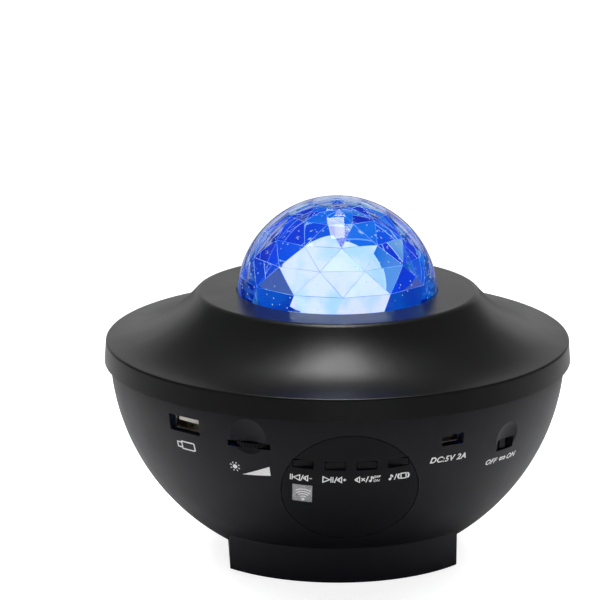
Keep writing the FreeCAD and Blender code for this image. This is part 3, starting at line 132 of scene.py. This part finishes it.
def floor_white():
    """Pale satin paint that looks almost white to the camera."""
    material = bpy.data.materials.new("floor_white")
    material.use_nodes = True
    tree = material.node_tree
    tree.nodes.clear()
    paint = tree.nodes.new("ShaderNodeBsdfPrincipled")
    paint.inputs["Base Color"].default_value = FLOOR_PAINT
    paint.inputs["Roughness"].default_value = FLOOR_ROUGHNESS
    glow = tree.nodes.new("ShaderNodeEmission")
    glow.inputs["Color"].default_value = FLOOR_GLOW
    add = tree.nodes.new("ShaderNodeAddShader")
    path = tree.nodes.new("ShaderNodeLightPath")
    tree.links.new(path.outputs["Is Camera Ray"], glow.inputs["Strength"])
    tree.links.new(paint.outputs[0], add.inputs[0])
    tree.links.new(glow.outputs[0], add.inputs[1])
    out = tree.nodes.new("ShaderNodeOutputMaterial")
    tree.links.new(add.outputs[0], out.inputs["Surface"])
    return material


def make_floor():
    mesh = bpy.data.meshes.new("floor")
    corners = [(x * FLOOR_HALF, y * FLOOR_HALF, 0) for x, y in ((-1, -1), (1, -1), (1, 1), (-1, 1))]
    mesh.from_pydata(corners, [], [(0, 1, 2, 3)])
    mesh.materials.append(floor_white())
    floor = bpy.data.objects.new("floor", mesh)
    bpy.context.scene.collection.objects.link(floor)


def make_studio():
    make_world()
    make_floor()
    soft_box("front_fill", place=(0.05, -0.9, 0.05), target=(0, 0, 0.06), size=(0.6, 0.08), power=4.6,
             mirrored=False)
    soft_box("overhead", place=(0, 0.12, 0.95), target=(0, 0, 0.08), size=(0.2, 0.5), power=3.0)
    soft_box("backdrop", place=(0, 1.7, 0.45), target=(0, 0, 0.1), size=(2.5, 0.7), power=3.4)
    soft_box("left_pool", place=(-0.17, 0.07, 0.22), target=(-0.17, 0.07, 0), size=(0.15, 0.26), power=1.35,
             mirrored=False)
    soft_box("right_pool", place=(0.17, 0.07, 0.22), target=(0.17, 0.07, 0), size=(0.15, 0.26), power=1.38,
             mirrored=False)


# Materials: the two margins are in millimetres, the other lengths in metres and the angle in degrees

INNER_MARGIN = 0.3
OUTER_MARGIN = 1.2
WINDOW_SPECK = 0.00028
SHARP_ANGLE = 32

# How much painted glow the dome's inner side has, standing in for the projector's light: seen across the
# dome, seen through its own wall, and in a painted dot of light.
FAR_PAINTED_GLOW = 0.95
NEAR_PAINTED_GLOW = 0.26
DOT_PAINTED_GLOW = 0.8
# Strength of the painted glow on the facets, and the colour of the painted dots of light.
FACET_PAINTED_GLOW_STRENGTH = 0.9
PAINTED_DOT_COLOUR = (0.75, 0.9, 1.0, 1)
GLASS_COLOUR = (0.8, 0.9, 1.0, 1)
ACRYLIC_IOR = 1.49


class Nodes:
    """Short hand for building one material's node tree."""

    def __init__(self, name):
        self.material = bpy.data.materials.new(name)
        self.material.use_nodes = True
        self.tree = self.material.node_tree
        self.tree.nodes.clear()
        self.out = self.tree.nodes.new("ShaderNodeOutputMaterial")

    def node(self, kind, **settings):
        made = self.tree.nodes.new("ShaderNode" + kind)
        for key, value in settings.items():
            setattr(made, key, value)
        return made

    def link(self, source, target):
        self.tree.links.new(source, target)

    def place(self):
        return self.node("TexCoord").outputs["Object"]

    def noise(self, scale, detail=2.0):
        noise = self.node("TexNoise")
        noise.inputs["Scale"].default_value = scale
        noise.inputs["Detail"].default_value = detail
        self.link(self.place(), noise.inputs["Vector"])
        return noise.outputs["Fac"]

    def ramp(self, source, stops):
        """Colour that runs through stops, each a position and a colour."""
        ramp = self.node("ValToRGB")
        while len(ramp.color_ramp.elements) < len(stops):
            ramp.color_ramp.elements.new(0.5)
        for element, (position, colour) in zip(ramp.color_ramp.elements, stops):
            element.position = position
            element.color = (*colour, 1)
        self.link(source, ramp.inputs["Fac"])
        return ramp.outputs["Color"]

    def spread(self, source, low, high):
        """Value that runs from low to high as the source runs from 0 to 1."""
        spread = self.node("MapRange")
        spread.inputs["To Min"].default_value = low
        spread.inputs["To Max"].default_value = high
        self.link(source, spread.inputs["Value"])
        return spread.outputs["Result"]

    def maths(self, operation, first, second):
        maths = self.node("Math", operation=operation)
        for socket, value in zip(maths.inputs, (first, second)):
            if isinstance(value, (int, float)):
                socket.default_value = value
            else:
                self.link(value, socket)
        return maths.outputs[0]

    def bump(self, height, strength, distance):
        bump = self.node("Bump")
        bump.inputs["Strength"].default_value = strength
        bump.inputs["Distance"].default_value = distance
        self.link(height, bump.inputs["Height"])
        return bump.outputs["Normal"]

    def shader(self, **inputs):
        shader = self.node("BsdfPrincipled")
        for key, value in inputs.items():
            socket = shader.inputs[key.replace("_", " ")]
            if hasattr(value, "is_linked"):
                self.link(value, socket)
            else:
                socket.default_value = value
        return shader

    def finish(self, surface):
        self.link(surface, self.out.inputs["Surface"])
        return self.material


def shaded(colour, factor):
    return tuple(min(1.0, channel * factor) for channel in colour)


def moulded(name, colour, roughness, grain=2200.0, depth=2e-5, shine=0.5):
    """Spark-eroded or matt moulded plastic: fine grain in relief, slight cloudiness in colour and gloss."""
    n = Nodes(name)
    cloud = n.noise(38.0, 3.0)
    base = n.ramp(cloud, [(0.3, shaded(colour, 0.88)), (0.7, shaded(colour, 1.12))])
    gloss = n.spread(n.noise(90.0, 3.0), roughness - 0.04, roughness + 0.04)
    normal = n.bump(n.noise(grain, 2.0), 0.6, depth)
    shader = n.shader(Base_Color=base, Roughness=gloss, Normal=normal)
    shader.inputs["Specular IOR Level"].default_value = shine
    return n.finish(shader.outputs[0])


def metal(name, colour, roughness):
    """Plated or brushed metal with fine scratches."""
    n = Nodes(name)
    stretch = n.node("Mapping")
    stretch.inputs["Scale"].default_value = (1.0, 1.0, 14.0)
    n.link(n.place(), stretch.inputs["Vector"])
    scratch = n.node("TexNoise")
    scratch.inputs["Scale"].default_value = 900.0
    scratch.inputs["Detail"].default_value = 3.0
    n.link(stretch.outputs[0], scratch.inputs["Vector"])
    base = n.ramp(scratch.outputs["Fac"], [(0.35, shaded(colour, 0.85)), (0.65, shaded(colour, 1.1))])
    gloss = n.spread(scratch.outputs["Fac"], roughness - 0.07, roughness + 0.1)
    normal = n.bump(scratch.outputs["Fac"], 0.15, 1e-5)
    shader = n.shader(Base_Color=base, Roughness=gloss, Normal=normal)
    shader.inputs["Metallic"].default_value = 1.0
    return n.finish(shader.outputs[0])


def circuit_board(name):
    """Green solder mask over faint copper tracks."""
    n = Nodes(name)
    tracks = n.node("TexVoronoi", feature="DISTANCE_TO_EDGE")
    tracks.inputs["Scale"].default_value = 260.0
    n.link(n.place(), tracks.inputs["Vector"])
    base = n.ramp(tracks.outputs["Distance"], [(0.04, (0.05, 0.3, 0.12)), (0.07, (0.012, 0.12, 0.045))])
    normal = n.bump(tracks.outputs["Distance"], 0.2, 3e-5)
    return n.finish(n.shader(Base_Color=base, Roughness=0.35, Normal=normal).outputs[0])


def printed_white(name):
    """Silk-screened ink with tiny pinholes."""
    n = Nodes(name)
    base = n.ramp(n.noise(5200.0, 2.0), [(0.34, (0.5, 0.5, 0.5)), (0.42, (0.8, 0.8, 0.79))])
    return n.finish(n.shader(Base_Color=base, Roughness=0.5).outputs[0])


def inner_side(n, position):
    """1 on the dome's faceted inner side, 0 on its smooth outer side."""
    centred = n.node("VectorMath", operation="SUBTRACT")
    centred.inputs[1].default_value = (0, 0, DOME_CENTRE * MM)
    n.link(position, centred.inputs[0])
    reach = n.node("VectorMath", operation="LENGTH")
    n.link(centred.outputs[0], reach.inputs[0])
    return n.maths("LESS_THAN", reach.outputs["Value"], (DOME_INNER_RADIUS + INNER_MARGIN) * MM)


def painted_facet_glow(n, true_normal):
    """Colour of the painted glow: blue that differs from facet to facet and drifts a little within each."""
    snap = n.node("VectorMath", operation="SNAP")
    snap.inputs[1].default_value = (0.02, 0.02, 0.02)
    n.link(true_normal, snap.inputs[0])
    dice = n.node("TexWhiteNoise", noise_dimensions="3D")
    n.link(snap.outputs[0], dice.inputs["Vector"])
    cloud = n.maths("MULTIPLY", n.noise(75.0, 2.0), 0.5)
    return n.ramp(n.maths("ADD", n.maths("MULTIPLY", dice.outputs["Value"], 0.72), cloud), [
        (0.2, (0.0, 0.012, 0.5)),
        (0.55, (0.0, 0.07, 1.0)),
        (0.85, (0.0, 0.27, 1.0)),
        (1.0, (0.4, 0.8, 1.0)),
    ])


def painted_star_dots(n):
    """1 in small scattered dots of painted light, 0 elsewhere."""
    star = n.node("TexVoronoi", feature="F1")
    star.inputs["Scale"].default_value = 520.0
    n.link(n.place(), star.inputs["Vector"])
    return n.maths("LESS_THAN", star.outputs["Distance"], 0.13)


def crystal(name):
    """Clear dome: glass outside; inside, painted glow standing in for the projector's light: blue facets
    with painted specks, brightest on the far wall.
    """
    n = Nodes(name)
    geometry = n.node("NewGeometry")
    # Painted specks of light mixed into the painted facet glow.
    dot = painted_star_dots(n)
    speckled = n.node("MixRGB")
    speckled.inputs["Color2"].default_value = PAINTED_DOT_COLOUR
    n.link(dot, speckled.inputs["Fac"])
    n.link(painted_facet_glow(n, geometry.outputs["True Normal"]), speckled.inputs["Color1"])
    # Emission painted on the inner facets, standing in for the projector's light inside the dome.
    glow = n.node("Emission")
    glow.inputs["Strength"].default_value = FACET_PAINTED_GLOW_STRENGTH
    n.link(speckled.outputs[0], glow.inputs["Color"])
    glass = n.shader(Roughness=0.015, IOR=ACRYLIC_IOR)
    glass.inputs["Base Color"].default_value = GLASS_COLOUR
    glass.inputs["Transmission Weight"].default_value = 1.0
    # Painted glow is stronger where the camera looks across the dome at its far wall than where it looks
    # through the near wall.
    painted_glow_by_side = n.spread(geometry.outputs["Backfacing"], FAR_PAINTED_GLOW, NEAR_PAINTED_GLOW)
    painted_glow_share = n.maths("MAXIMUM", painted_glow_by_side, n.maths("MULTIPLY", dot, DOT_PAINTED_GLOW))
    mix = n.node("MixShader")
    n.link(n.maths("MULTIPLY", inner_side(n, geometry.outputs["Position"]), painted_glow_share), mix.inputs["Fac"])
    n.link(glass.outputs[0], mix.inputs[1])
    n.link(glow.outputs[0], mix.inputs[2])
    return n.finish(mix.outputs[0])


def lamp_or_painted_glow(name, stops, strength, scale=220.0, paint=0.8):
    """Rippled light source, or a lit surface whose light is painted in as glow: colour wanders between the
    stops.
    """
    n = Nodes(name)
    colour = n.ramp(n.noise(scale, 2.0), stops)
    shader = n.shader(Roughness=0.25, Emission_Color=colour)
    shader.inputs["Base Color"].default_value = (paint * 0.85, paint * 0.95, paint, 1)
    shader.inputs["Emission Strength"].default_value = strength
    return n.finish(shader.outputs[0])


def clear_plastic(name, colour):
    """Clear moulded plastic, faintly uneven in gloss."""
    n = Nodes(name)
    gloss = n.spread(n.noise(600.0), 0.1, 0.18)
    shader = n.shader(Roughness=gloss, IOR=ACRYLIC_IOR)
    shader.inputs["Base Color"].default_value = (*colour, 1)
    shader.inputs["Transmission Weight"].default_value = 0.85
    return n.finish(shader.outputs[0])


def infrared_window(name):
    """Grey translucent window, speckled."""
    n = Nodes(name)
    speckle = n.node("TexWhiteNoise", noise_dimensions="3D")
    snap = n.node("VectorMath", operation="SNAP")
    snap.inputs[1].default_value = (WINDOW_SPECK, WINDOW_SPECK, WINDOW_SPECK)
    n.link(n.place(), snap.inputs[0])
    n.link(snap.outputs[0], speckle.inputs["Vector"])
    base = n.ramp(speckle.outputs["Value"], [(0.0, (0.14, 0.14, 0.15)), (1.0, (0.42, 0.42, 0.43))])
    return n.finish(n.shader(Base_Color=base, Roughness=0.3).outputs[0])


def make_materials():
    """One material for each of the record's slots, and one each for two nodes that differ from it."""
    painted_deck_blues = [(0.35, (0.0, 0.02, 0.4)), (0.65, (0.0, 0.2, 0.9))]
    lamp_whites = [(0.3, (0.6, 0.85, 1.0)), (0.7, (1.0, 1.0, 1.0))]
    painted_ripple_whites = [(0.36, (0.6, 0.82, 1.0)), (0.52, (1.0, 0.97, 1.0))]
    return {
        "cover": moulded("cover_satin", (0.003, 0.003, 0.003), 0.32, grain=1900.0, depth=6e-5),
        "bowl": moulded("bowl_matt", (0.004, 0.0037, 0.0055), 0.46, grain=3200.0, depth=1.5e-5, shine=0.36),
        "panel": moulded("panel_satin", (0.004, 0.004, 0.005), 0.55, grain=4200.0, depth=1e-5, shine=0.27),
        "keys": moulded("key_black", (0.003, 0.003, 0.0035), 0.5, grain=3800.0, depth=1e-5, shine=0.3),
        "crystal": crystal("dome_glass_painted_glow"),
        "infrared": infrared_window("window_grey"),
        "steel": metal("plated_steel", (0.62, 0.6, 0.56), 0.28),
        "contact": metal("gold_contact", (0.85, 0.62, 0.25), 0.25),
        "socket_black": moulded("socket_black", (0.01, 0.01, 0.01), 0.45),
        "rubber": moulded("foot_rubber", (0.015, 0.015, 0.015), 0.75, grain=1800.0, depth=4e-5),
        "inner_plastic": moulded("inner_grey", (0.32, 0.32, 0.33), 0.5),
        "gear_plastic": moulded("gear_white", (0.7, 0.69, 0.64), 0.4),
        "board": circuit_board("green_board"),
        "chip": moulded("chip_black", (0.012, 0.012, 0.012), 0.55),
        "can": metal("can_aluminium", (0.75, 0.75, 0.77), 0.35),
        "sink": metal("sink_aluminium", (0.72, 0.72, 0.74), 0.4),
        "led": lamp_or_painted_glow("led_light", lamp_whites, 2.5),
        # The ripple lens is no lamp: its glow is painted light standing in for the LED's light shining
        # through it.
        "lens": lamp_or_painted_glow("ripple_painted_glow", painted_ripple_whites, 1.22, 90.0),
        "clear": clear_plastic("clear_plastic", (0.9, 0.95, 1.0)),
        "screw": metal("screw_zinc", (0.4, 0.4, 0.41), 0.35),
        "magnet": metal("magnet_plated", (0.2, 0.2, 0.21), 0.4),
        "paper": moulded("cone_paper", (0.02, 0.02, 0.02), 0.8, grain=1200.0, depth=6e-5),
        "foam": moulded("foam_black", (0.02, 0.02, 0.02), 0.9, grain=900.0, depth=1e-4),
        # Painted glow: the deck's rippled blue stands in for the projector's light falling on it.
        "light_deck": lamp_or_painted_glow("deck_painted_glow", painted_deck_blues, 0.7, 60.0, 0.05),
        "usb_tongue": moulded("tongue_cream", (0.8, 0.78, 0.68), 0.4),
        "brass_part": metal("turned_brass", (0.75, 0.58, 0.28), 0.3),
    }


def dress_nodes(materials):
    """Gives each CAD piece its own material, or its slot's, and smooths its curved faces."""
    slots = {part["node"]: part["material_slot"] for part in frame["record"]["subparts"]}
    for name, piece in nodes.items():
        piece.data.materials.clear()
        piece.data.materials.append(materials.get(name) or materials[slots[name]])
        if name == "crystal_dome":
            continue
        piece.data.shade_smooth()
        piece.data.set_sharp_from_angle(angle=math.radians(SHARP_ANGLE))
    smooth_outer_dome(nodes["crystal_dome"].data)


def smooth_outer_dome(mesh):
    """Smooth shading on the outer sphere, flat facets inside."""
    centre = Vector((0, 0, DOME_CENTRE * MM))
    limit = (DOME_INNER_RADIUS + OUTER_MARGIN) * MM
    for face in mesh.polygons:
        face.use_smooth = (face.center - centre).length > limit
    mesh.update()


# Signs printed on the bowl, drawn flat in millimetres and then laid on its skin

INK_PROUD = 0.05
WINDOW_INK_PROUD = 0.02
INK_SUNK = 0.03
LARGEST_PATCH = 1.2
STROKE = 0.38
FINE_STROKE = 0.34
BOLD_STROKE = 0.42
BROAD_STROKE = 0.45
MITRE_LIMIT = 0.5
WELD = 1e-4
SPEAKER_SIZE = 0.95
SIGN_HALF = 1.25
DISC_SIDES = 20
ARC_STEPS = 12
LETTER_SCALE = 1.37
LETTER_WEIGHT = 0.028
LETTER_SPACING = 1.1
LETTER_SLANT = 0.22

KEY_SIGN_MIDDLES = (-17.7, -5.8, 5.1, 16.6)
KEY_SIGN_ROW = 6.7
KEY_SIGN_SIZE = 0.96
WINDOW_MIDDLE = (-16.4, -0.45)
WINDOW_HALF_WIDTH = 3.2
WINDOW_HALF_HEIGHT = 3.6

# Where each other sign lies: degrees round from the front, and millimetres above the floor.
MEMORY_STICK_PLACE = (-43.9, 52.8)
SUN_PLACE = (-29.8, 48.5)
WEDGE_PLACE = (-24.2, 48.0)
INLET_PLACE = (25.3, 51.4)
SWITCH_PLACE = (43.6, 46.0)


def skin_point(point, proud):
    """Nearest point on the bowl's outer skin, in millimetres, raised by proud."""
    radius = math.hypot(point.x, point.y)
    across, down = radius - BOWL_OFFSET, point.z - BOWL_LEVEL
    scale = (BOWL_CURVE + proud) / math.hypot(across, down)
    new_radius = BOWL_OFFSET + across * scale
    return Vector((point.x * new_radius / radius, point.y * new_radius / radius, BOWL_LEVEL + down * scale))


def tangent_axes(azimuth, level):
    """Middle point, across and up directions of the skin at an azimuth from the front and a level."""
    turn = math.radians(azimuth)
    tilt = math.asin((BOWL_LEVEL - level) / BOWL_CURVE)
    radius = BOWL_OFFSET + BOWL_CURVE * math.cos(tilt)
    outward = Vector((math.sin(turn), -math.cos(turn), 0))
    middle = outward * radius + Vector((0, 0, level))
    across = Vector((math.cos(turn), math.sin(turn), 0))
    up = outward * math.sin(tilt) + Vector((0, 0, math.cos(tilt)))
    return middle, across, up


def shifted(shapes, x, y, size=1.0):
    """Flat shapes made larger or smaller by size, then moved to x, y."""
    return [[Vector((p[0] * size + x, p[1] * size + y)) for p in shape] for shape in shapes]


def ribbon(points, width=STROKE, closed=False):
    """Stroke of even width along points, as quads with mitred corners."""
    count = len(points)
    left, right = [], []
    for index in range(count):
        here = Vector(points[index])
        before = Vector(points[index - 1]) if closed or index > 0 else None
        after = Vector(points[(index + 1) % count]) if closed or index < count - 1 else None
        into = (here - before).normalized() if before is not None else (after - here).normalized()
        out = (after - here).normalized() if after is not None else into
        side = Vector((-into.y - out.y, into.x + out.x))
        side.normalize()
        reach = width / 2 / max(MITRE_LIMIT, side.dot(Vector((-into.y, into.x))))
        left.append(here + side * reach)
        right.append(here - side * reach)
    quads = []
    for index in range(count if closed else count - 1):
        after = (index + 1) % count
        quads.append([right[index], right[after], left[after], left[index]])
    return quads


def disc(x, y, radius):
    turns = [2 * math.pi * k / DISC_SIDES for k in range(DISC_SIDES)]
    return [[Vector((x + radius * math.cos(turn), y + radius * math.sin(turn))) for turn in turns]]


def arc_points(x, y, radius, start, end):
    angles = [math.radians(start + (end - start) * k / ARC_STEPS) for k in range(ARC_STEPS + 1)]
    return [(x + radius * math.cos(a), y + radius * math.sin(a)) for a in angles]


def lettering(text, height, x, y):
    """Flat faces of a bold slanted word, its left foot at x, y."""
    data = bpy.data.curves.new("word", "FONT")
    data.body = text
    data.size = height * LETTER_SCALE
    data.offset = height * LETTER_WEIGHT
    data.space_character = LETTER_SPACING
    data.shear = LETTER_SLANT
    word = bpy.data.objects.new("word", data)
    mesh = bpy.data.meshes.new_from_object(word)
    faces = [[Vector((mesh.vertices[v].co.x + x, mesh.vertices[v].co.y + y)) for v in face.vertices]
             for face in mesh.polygons]
    bpy.data.objects.remove(word)
    bpy.data.curves.remove(data)
    bpy.data.meshes.remove(mesh)
    return faces


def flat_patches(shapes):
    """Shapes as faces that look up, cut small enough to follow the curved skin."""
    work = bmesh.new()
    for shape in shapes:
        work.faces.new([work.verts.new((p[0], p[1], 0)) for p in shape])
    bmesh.ops.remove_doubles(work, verts=work.verts, dist=WELD)
    span = [v.co.copy() for v in work.verts]
    for axis in (0, 1):
        low = min(p[axis] for p in span)
        high = max(p[axis] for p in span)
        for step in range(1, int((high - low) / LARGEST_PATCH) + 1):
            spot = Vector((0, 0, 0))
            spot[axis] = low + step * LARGEST_PATCH
            normal = Vector((0, 0, 0))
            normal[axis] = 1
            parts = work.verts[:] + work.edges[:] + work.faces[:]
            bmesh.ops.bisect_plane(work, geom=parts, plane_co=spot, plane_no=normal)
    for face in work.faces:
        if face.normal.z < 0:
            face.normal_flip()
    return work


def sign(name, shapes, azimuth, level, material, proud=INK_PROUD):
    """Thin printed sign laid on the skin at a place, as one piece."""
    work = flat_patches(shapes)
    top = bmesh.ops.extrude_face_region(work, geom=work.faces[:])
    raised = {v for v in top["geom"] if isinstance(v, bmesh.types.BMVert)}
    middle, across, up = tangent_axes(azimuth, level)
    for vert in work.verts:
        height = proud if vert in raised else -INK_SUNK
        vert.co = skin_point(middle + across * vert.co.x + up * vert.co.y, height) * MM
    bmesh.ops.recalc_face_normals(work, faces=work.faces)
    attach(add_piece(name, work, material), "housing")


def add_piece(name, work, material):
    """Object with one material, made from a bmesh that isn't needed afterwards."""
    mesh = bpy.data.meshes.new(name)
    work.to_mesh(mesh)
    work.free()
    mesh.materials.append(material)
    piece = bpy.data.objects.new(name, mesh)
    bpy.context.scene.collection.objects.link(piece)
    return piece


def speaker_shape(x):
    """Small loudspeaker outline, its wide side to the right."""
    body = [(-1.15, 0.0), (-0.6, 0.55), (0.55, SIGN_HALF), (0.55, -SIGN_HALF), (-0.6, -0.55)]
    back = [(-0.35, 0.55), (-0.35, -0.55)]
    return shifted(ribbon(body, closed=True) + ribbon(back), x, 0, SPEAKER_SIZE)


def triangle_shape(x, toward):
    """Play or skip triangle that points right for 1 and left for -1."""
    corners = [(-toward * 1.2, SIGN_HALF), (toward * 1.25, 0.0), (-toward * 1.2, -SIGN_HALF)]
    return shifted(ribbon(corners, closed=True), x, 0)


def bars_shape(x):
    left = ribbon([(-0.28, -SIGN_HALF), (-0.28, SIGN_HALF)])
    right = ribbon([(0.4, -SIGN_HALF), (0.4, SIGN_HALF)])
    return shifted(left + right, x, 0)


def slash_shape(x):
    return shifted(ribbon([(-0.45, -1.3), (0.45, 1.3)]), x, 0)


def minus_shape(x):
    return shifted(ribbon([(-0.45, 0), (0.45, 0)], FINE_STROKE), x, 0)


def plus_shape(x):
    across = ribbon([(-0.55, 0), (0.55, 0)], FINE_STROKE)
    above = ribbon([(0, 0.17), (0, 0.55)], FINE_STROKE)
    below = ribbon([(0, -0.55), (0, -0.17)], FINE_STROKE)
    return shifted(across + above + below, x, 0)


def note_shape(x):
    """Plain musical note."""
    stem = ribbon([(0.35, -0.8), (0.35, 1.2)])
    flag = ribbon([(0.45, 1.15), (1.05, 0.45), (0.95, 0.0)])
    return shifted(disc(-0.05, -0.85, 0.48) + stem + flag, x, 0)


def cross_shape(x):
    """Small cross, its second stroke in two halves beside the first."""
    whole = ribbon([(-0.6, -0.6), (0.6, 0.6)])
    upper = ribbon([(-0.6, 0.6), (-0.1, 0.1)])
    lower = ribbon([(0.1, -0.1), (0.6, -0.6)])
    return shifted(whole + upper + lower, x, 0)


def mode_shape(x):
    """Rectangular frame with a thicker curved ear on each side."""
    frame_loop = ribbon([(-1.0, -1.15), (1.0, -1.15), (1.0, 1.15), (-1.0, 1.15)], BOLD_STROKE, closed=True)
    left = ribbon(arc_points(-0.75, 0, 1.35, 125, 235), 0.62)
    right = ribbon(arc_points(0.75, 0, 1.35, -55, 55), 0.62)
    return shifted(frame_loop + left + right, x, 0)


def key_signs(ink):
    """Signs under the four keys."""
    previous = bars_shape(-3.4) + triangle_shape(-1.35, -1) + slash_shape(0.75)
    previous += speaker_shape(2.35) + minus_shape(4.0)
    play = triangle_shape(-2.75, 1) + bars_shape(-0.75) + slash_shape(0.65)
    play += speaker_shape(2.25) + plus_shape(3.85)
    mute = speaker_shape(-2.7) + cross_shape(-0.9) + slash_shape(0.55) + note_shape(1.75)
    mute += lettering("OFF", 1.0, 2.75, 0.4) + lettering("ON", 1.0, 2.75, -1.3)
    mode = note_shape(-3.0) + slash_shape(-0.9) + mode_shape(2.2)
    shapes = []
    for middle, glyphs in zip(KEY_SIGN_MIDDLES, (previous, play, mute, mode)):
        shapes += shifted(glyphs, middle, KEY_SIGN_ROW, KEY_SIGN_SIZE)
    sign("panel_signs", shapes, 0, PANEL_LEVEL, ink)


def window_sign(ink):
    """Waves over a dot at the small window, only those strokes that fit within it."""
    waves = disc(0, -2.6, 0.6)
    for radius in (1.5, 2.6, 3.7, 4.8):
        waves += ribbon(arc_points(0, -2.7, radius, 48, 132), BOLD_STROKE)
    kept = [shape for shape in waves
            if all(abs(p[0]) < WINDOW_HALF_WIDTH and abs(p[1]) < WINDOW_HALF_HEIGHT for p in shape)]
    sign("remote_sign", shifted(kept, *WINDOW_MIDDLE), 0, PANEL_LEVEL, ink, WINDOW_INK_PROUD)


def memory_stick_sign(ink):
    body = [(-2.2, 1.45), (3.3, 1.45), (3.6, 1.15), (3.6, -1.15), (3.3, -1.45), (-2.2, -1.45)]
    plug = [(-2.4, 0.95), (-4.3, 0.95), (-4.3, -0.95), (-2.4, -0.95)]
    shapes = ribbon(body, 0.5, closed=True) + ribbon(plug, BROAD_STROKE)
    sign("memory_stick_sign", shapes, *MEMORY_STICK_PLACE, ink)


def brightness_signs(ink):
    """Sun and rising wedge under the wheel."""
    sun = disc(0, 0, 0.85)
    for ray in range(8):
        angle = math.radians(45 * ray + 22.5)
        reach = Vector((math.cos(angle), math.sin(angle)))
        sun += ribbon([reach * 1.35, reach * 1.95], 0.36)
    sign("sun_sign", sun, *SUN_PLACE, ink)
    wedge = [[Vector((-5.2, -2.4)), Vector((5.3, -1.7)), Vector((5.3, 2.0))]]
    sign("wedge_sign", wedge, *WEDGE_PLACE, ink)


def switch_sign(ink):
    """OFF and ON with a double arrow between them."""
    words = lettering("OFF", 2.15, -8.0, -1.05) + lettering("ON", 2.15, 3.0, -1.05)
    arrow = ribbon([(-0.3, 0.4), (1.7, 0.4)], BROAD_STROKE)
    arrow += ribbon([(-0.3, -0.4), (1.7, -0.4)], BROAD_STROKE)
    arrow += [[Vector((-1.1, 0)), Vector((-0.3, -1.0)), Vector((-0.3, 1.0))]]
    arrow += [[Vector((2.5, 0)), Vector((1.7, 1.0)), Vector((1.7, -1.0))]]
    sign("switch_sign", words + arrow, *SWITCH_PLACE, ink)


def make_signs(ink):
    key_signs(ink)
    window_sign(ink)
    memory_stick_sign(ink)
    brightness_signs(ink)
    sign("inlet_sign", lettering("DC:5V 2A", 2.3, -7.4, -1.2), *INLET_PLACE, ink)
    switch_sign(ink)


# Glowing rods that paint bright highlights along the ridges where the dome's facets meet

RIDGE_HIGHLIGHT_RADIUS = 0.08
RIDGE_HIGHLIGHT_SCALE = 0.998
OFF_RIDGES = Vector((0.3, 0.5, 0.81))


def facet_points():
    """Rings of facet corners, each ring turned half a step from the last."""
    rings = []
    for order, polar in enumerate(FACET_RINGS):
        tilt = math.radians(polar)
        shift = 0.0 if order % 2 == 0 else 0.5
        across = DOME_INNER_RADIUS * math.sin(tilt)
        level = DOME_CENTRE + DOME_INNER_RADIUS * math.cos(tilt)
        turns = [2 * math.pi * (side + shift) / DOME_SIDES for side in range(DOME_SIDES)]
        rings.append([Vector((across * math.sin(turn), -across * math.cos(turn), level)) for turn in turns])
    return rings


def ridge_lines():
    """Pairs of corners that share a ridge."""
    rings = facet_points()
    apex = Vector((0, 0, DOME_CENTRE + DOME_INNER_RADIUS))
    lines = []
    for order, ring in enumerate(rings):
        for side in range(DOME_SIDES):
            after = (side + 1) % DOME_SIDES
            lines.append((ring[side], ring[after]))
            if order + 1 < len(rings):
                upper = rings[order + 1]
                other = side - 1 if order % 2 == 0 else after
                lines.append((ring[side], upper[side]))
                lines.append((ring[side], upper[other]))
            else:
                lines.append((ring[side], apex))
    return lines


def drawn_in(corner):
    """Facet corner moved a little towards the dome's middle."""
    return corner * RIDGE_HIGHLIGHT_SCALE + Vector((0, 0, DOME_CENTRE * (1 - RIDGE_HIGHLIGHT_SCALE)))


def add_rod(work, start, end, radius):
    """Thin four-sided rod between two points, in millimetres."""
    along = (end - start).normalized()
    side = along.cross(OFF_RIDGES).normalized()
    other = along.cross(side)
    corners = []
    for point in (start, end):
        ring = [work.verts.new((point + (side * a + other * b) * radius) * MM)
                for a, b in ((1, 0), (0, 1), (-1, 0), (0, -1))]
        corners.append(ring)
    for index in range(4):
        after = (index + 1) % 4
        work.faces.new((corners[0][index], corners[0][after], corners[1][after], corners[1][index]))
    work.faces.new(corners[0][::-1])
    work.faces.new(corners[1])


# The rods glow as painted highlight: bright lines standing in for light caught along the facets' ridges.
def make_ridge_highlights(material):
    work = bmesh.new()
    for start, end in ridge_lines():
        add_rod(work, drawn_in(start), drawn_in(end), RIDGE_HIGHLIGHT_RADIUS)
    piece = add_piece("facet_ridge_highlights", work, material)
    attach(piece, "housing")


def main():
    bpy.context.scene.view_settings.view_transform = "Standard"
    make_camera()
    make_studio()
    dress_nodes(make_materials())
    make_signs(printed_white("white_ink"))
    # Painted highlights along the dome's facet ridges.
    make_ridge_highlights(lamp_or_painted_glow("ridge_painted_highlight", [(0.42, (0.02, 0.15, 0.8)), (0.62, (0.8, 0.95, 1.0))], 0.9, 70.0))


main()
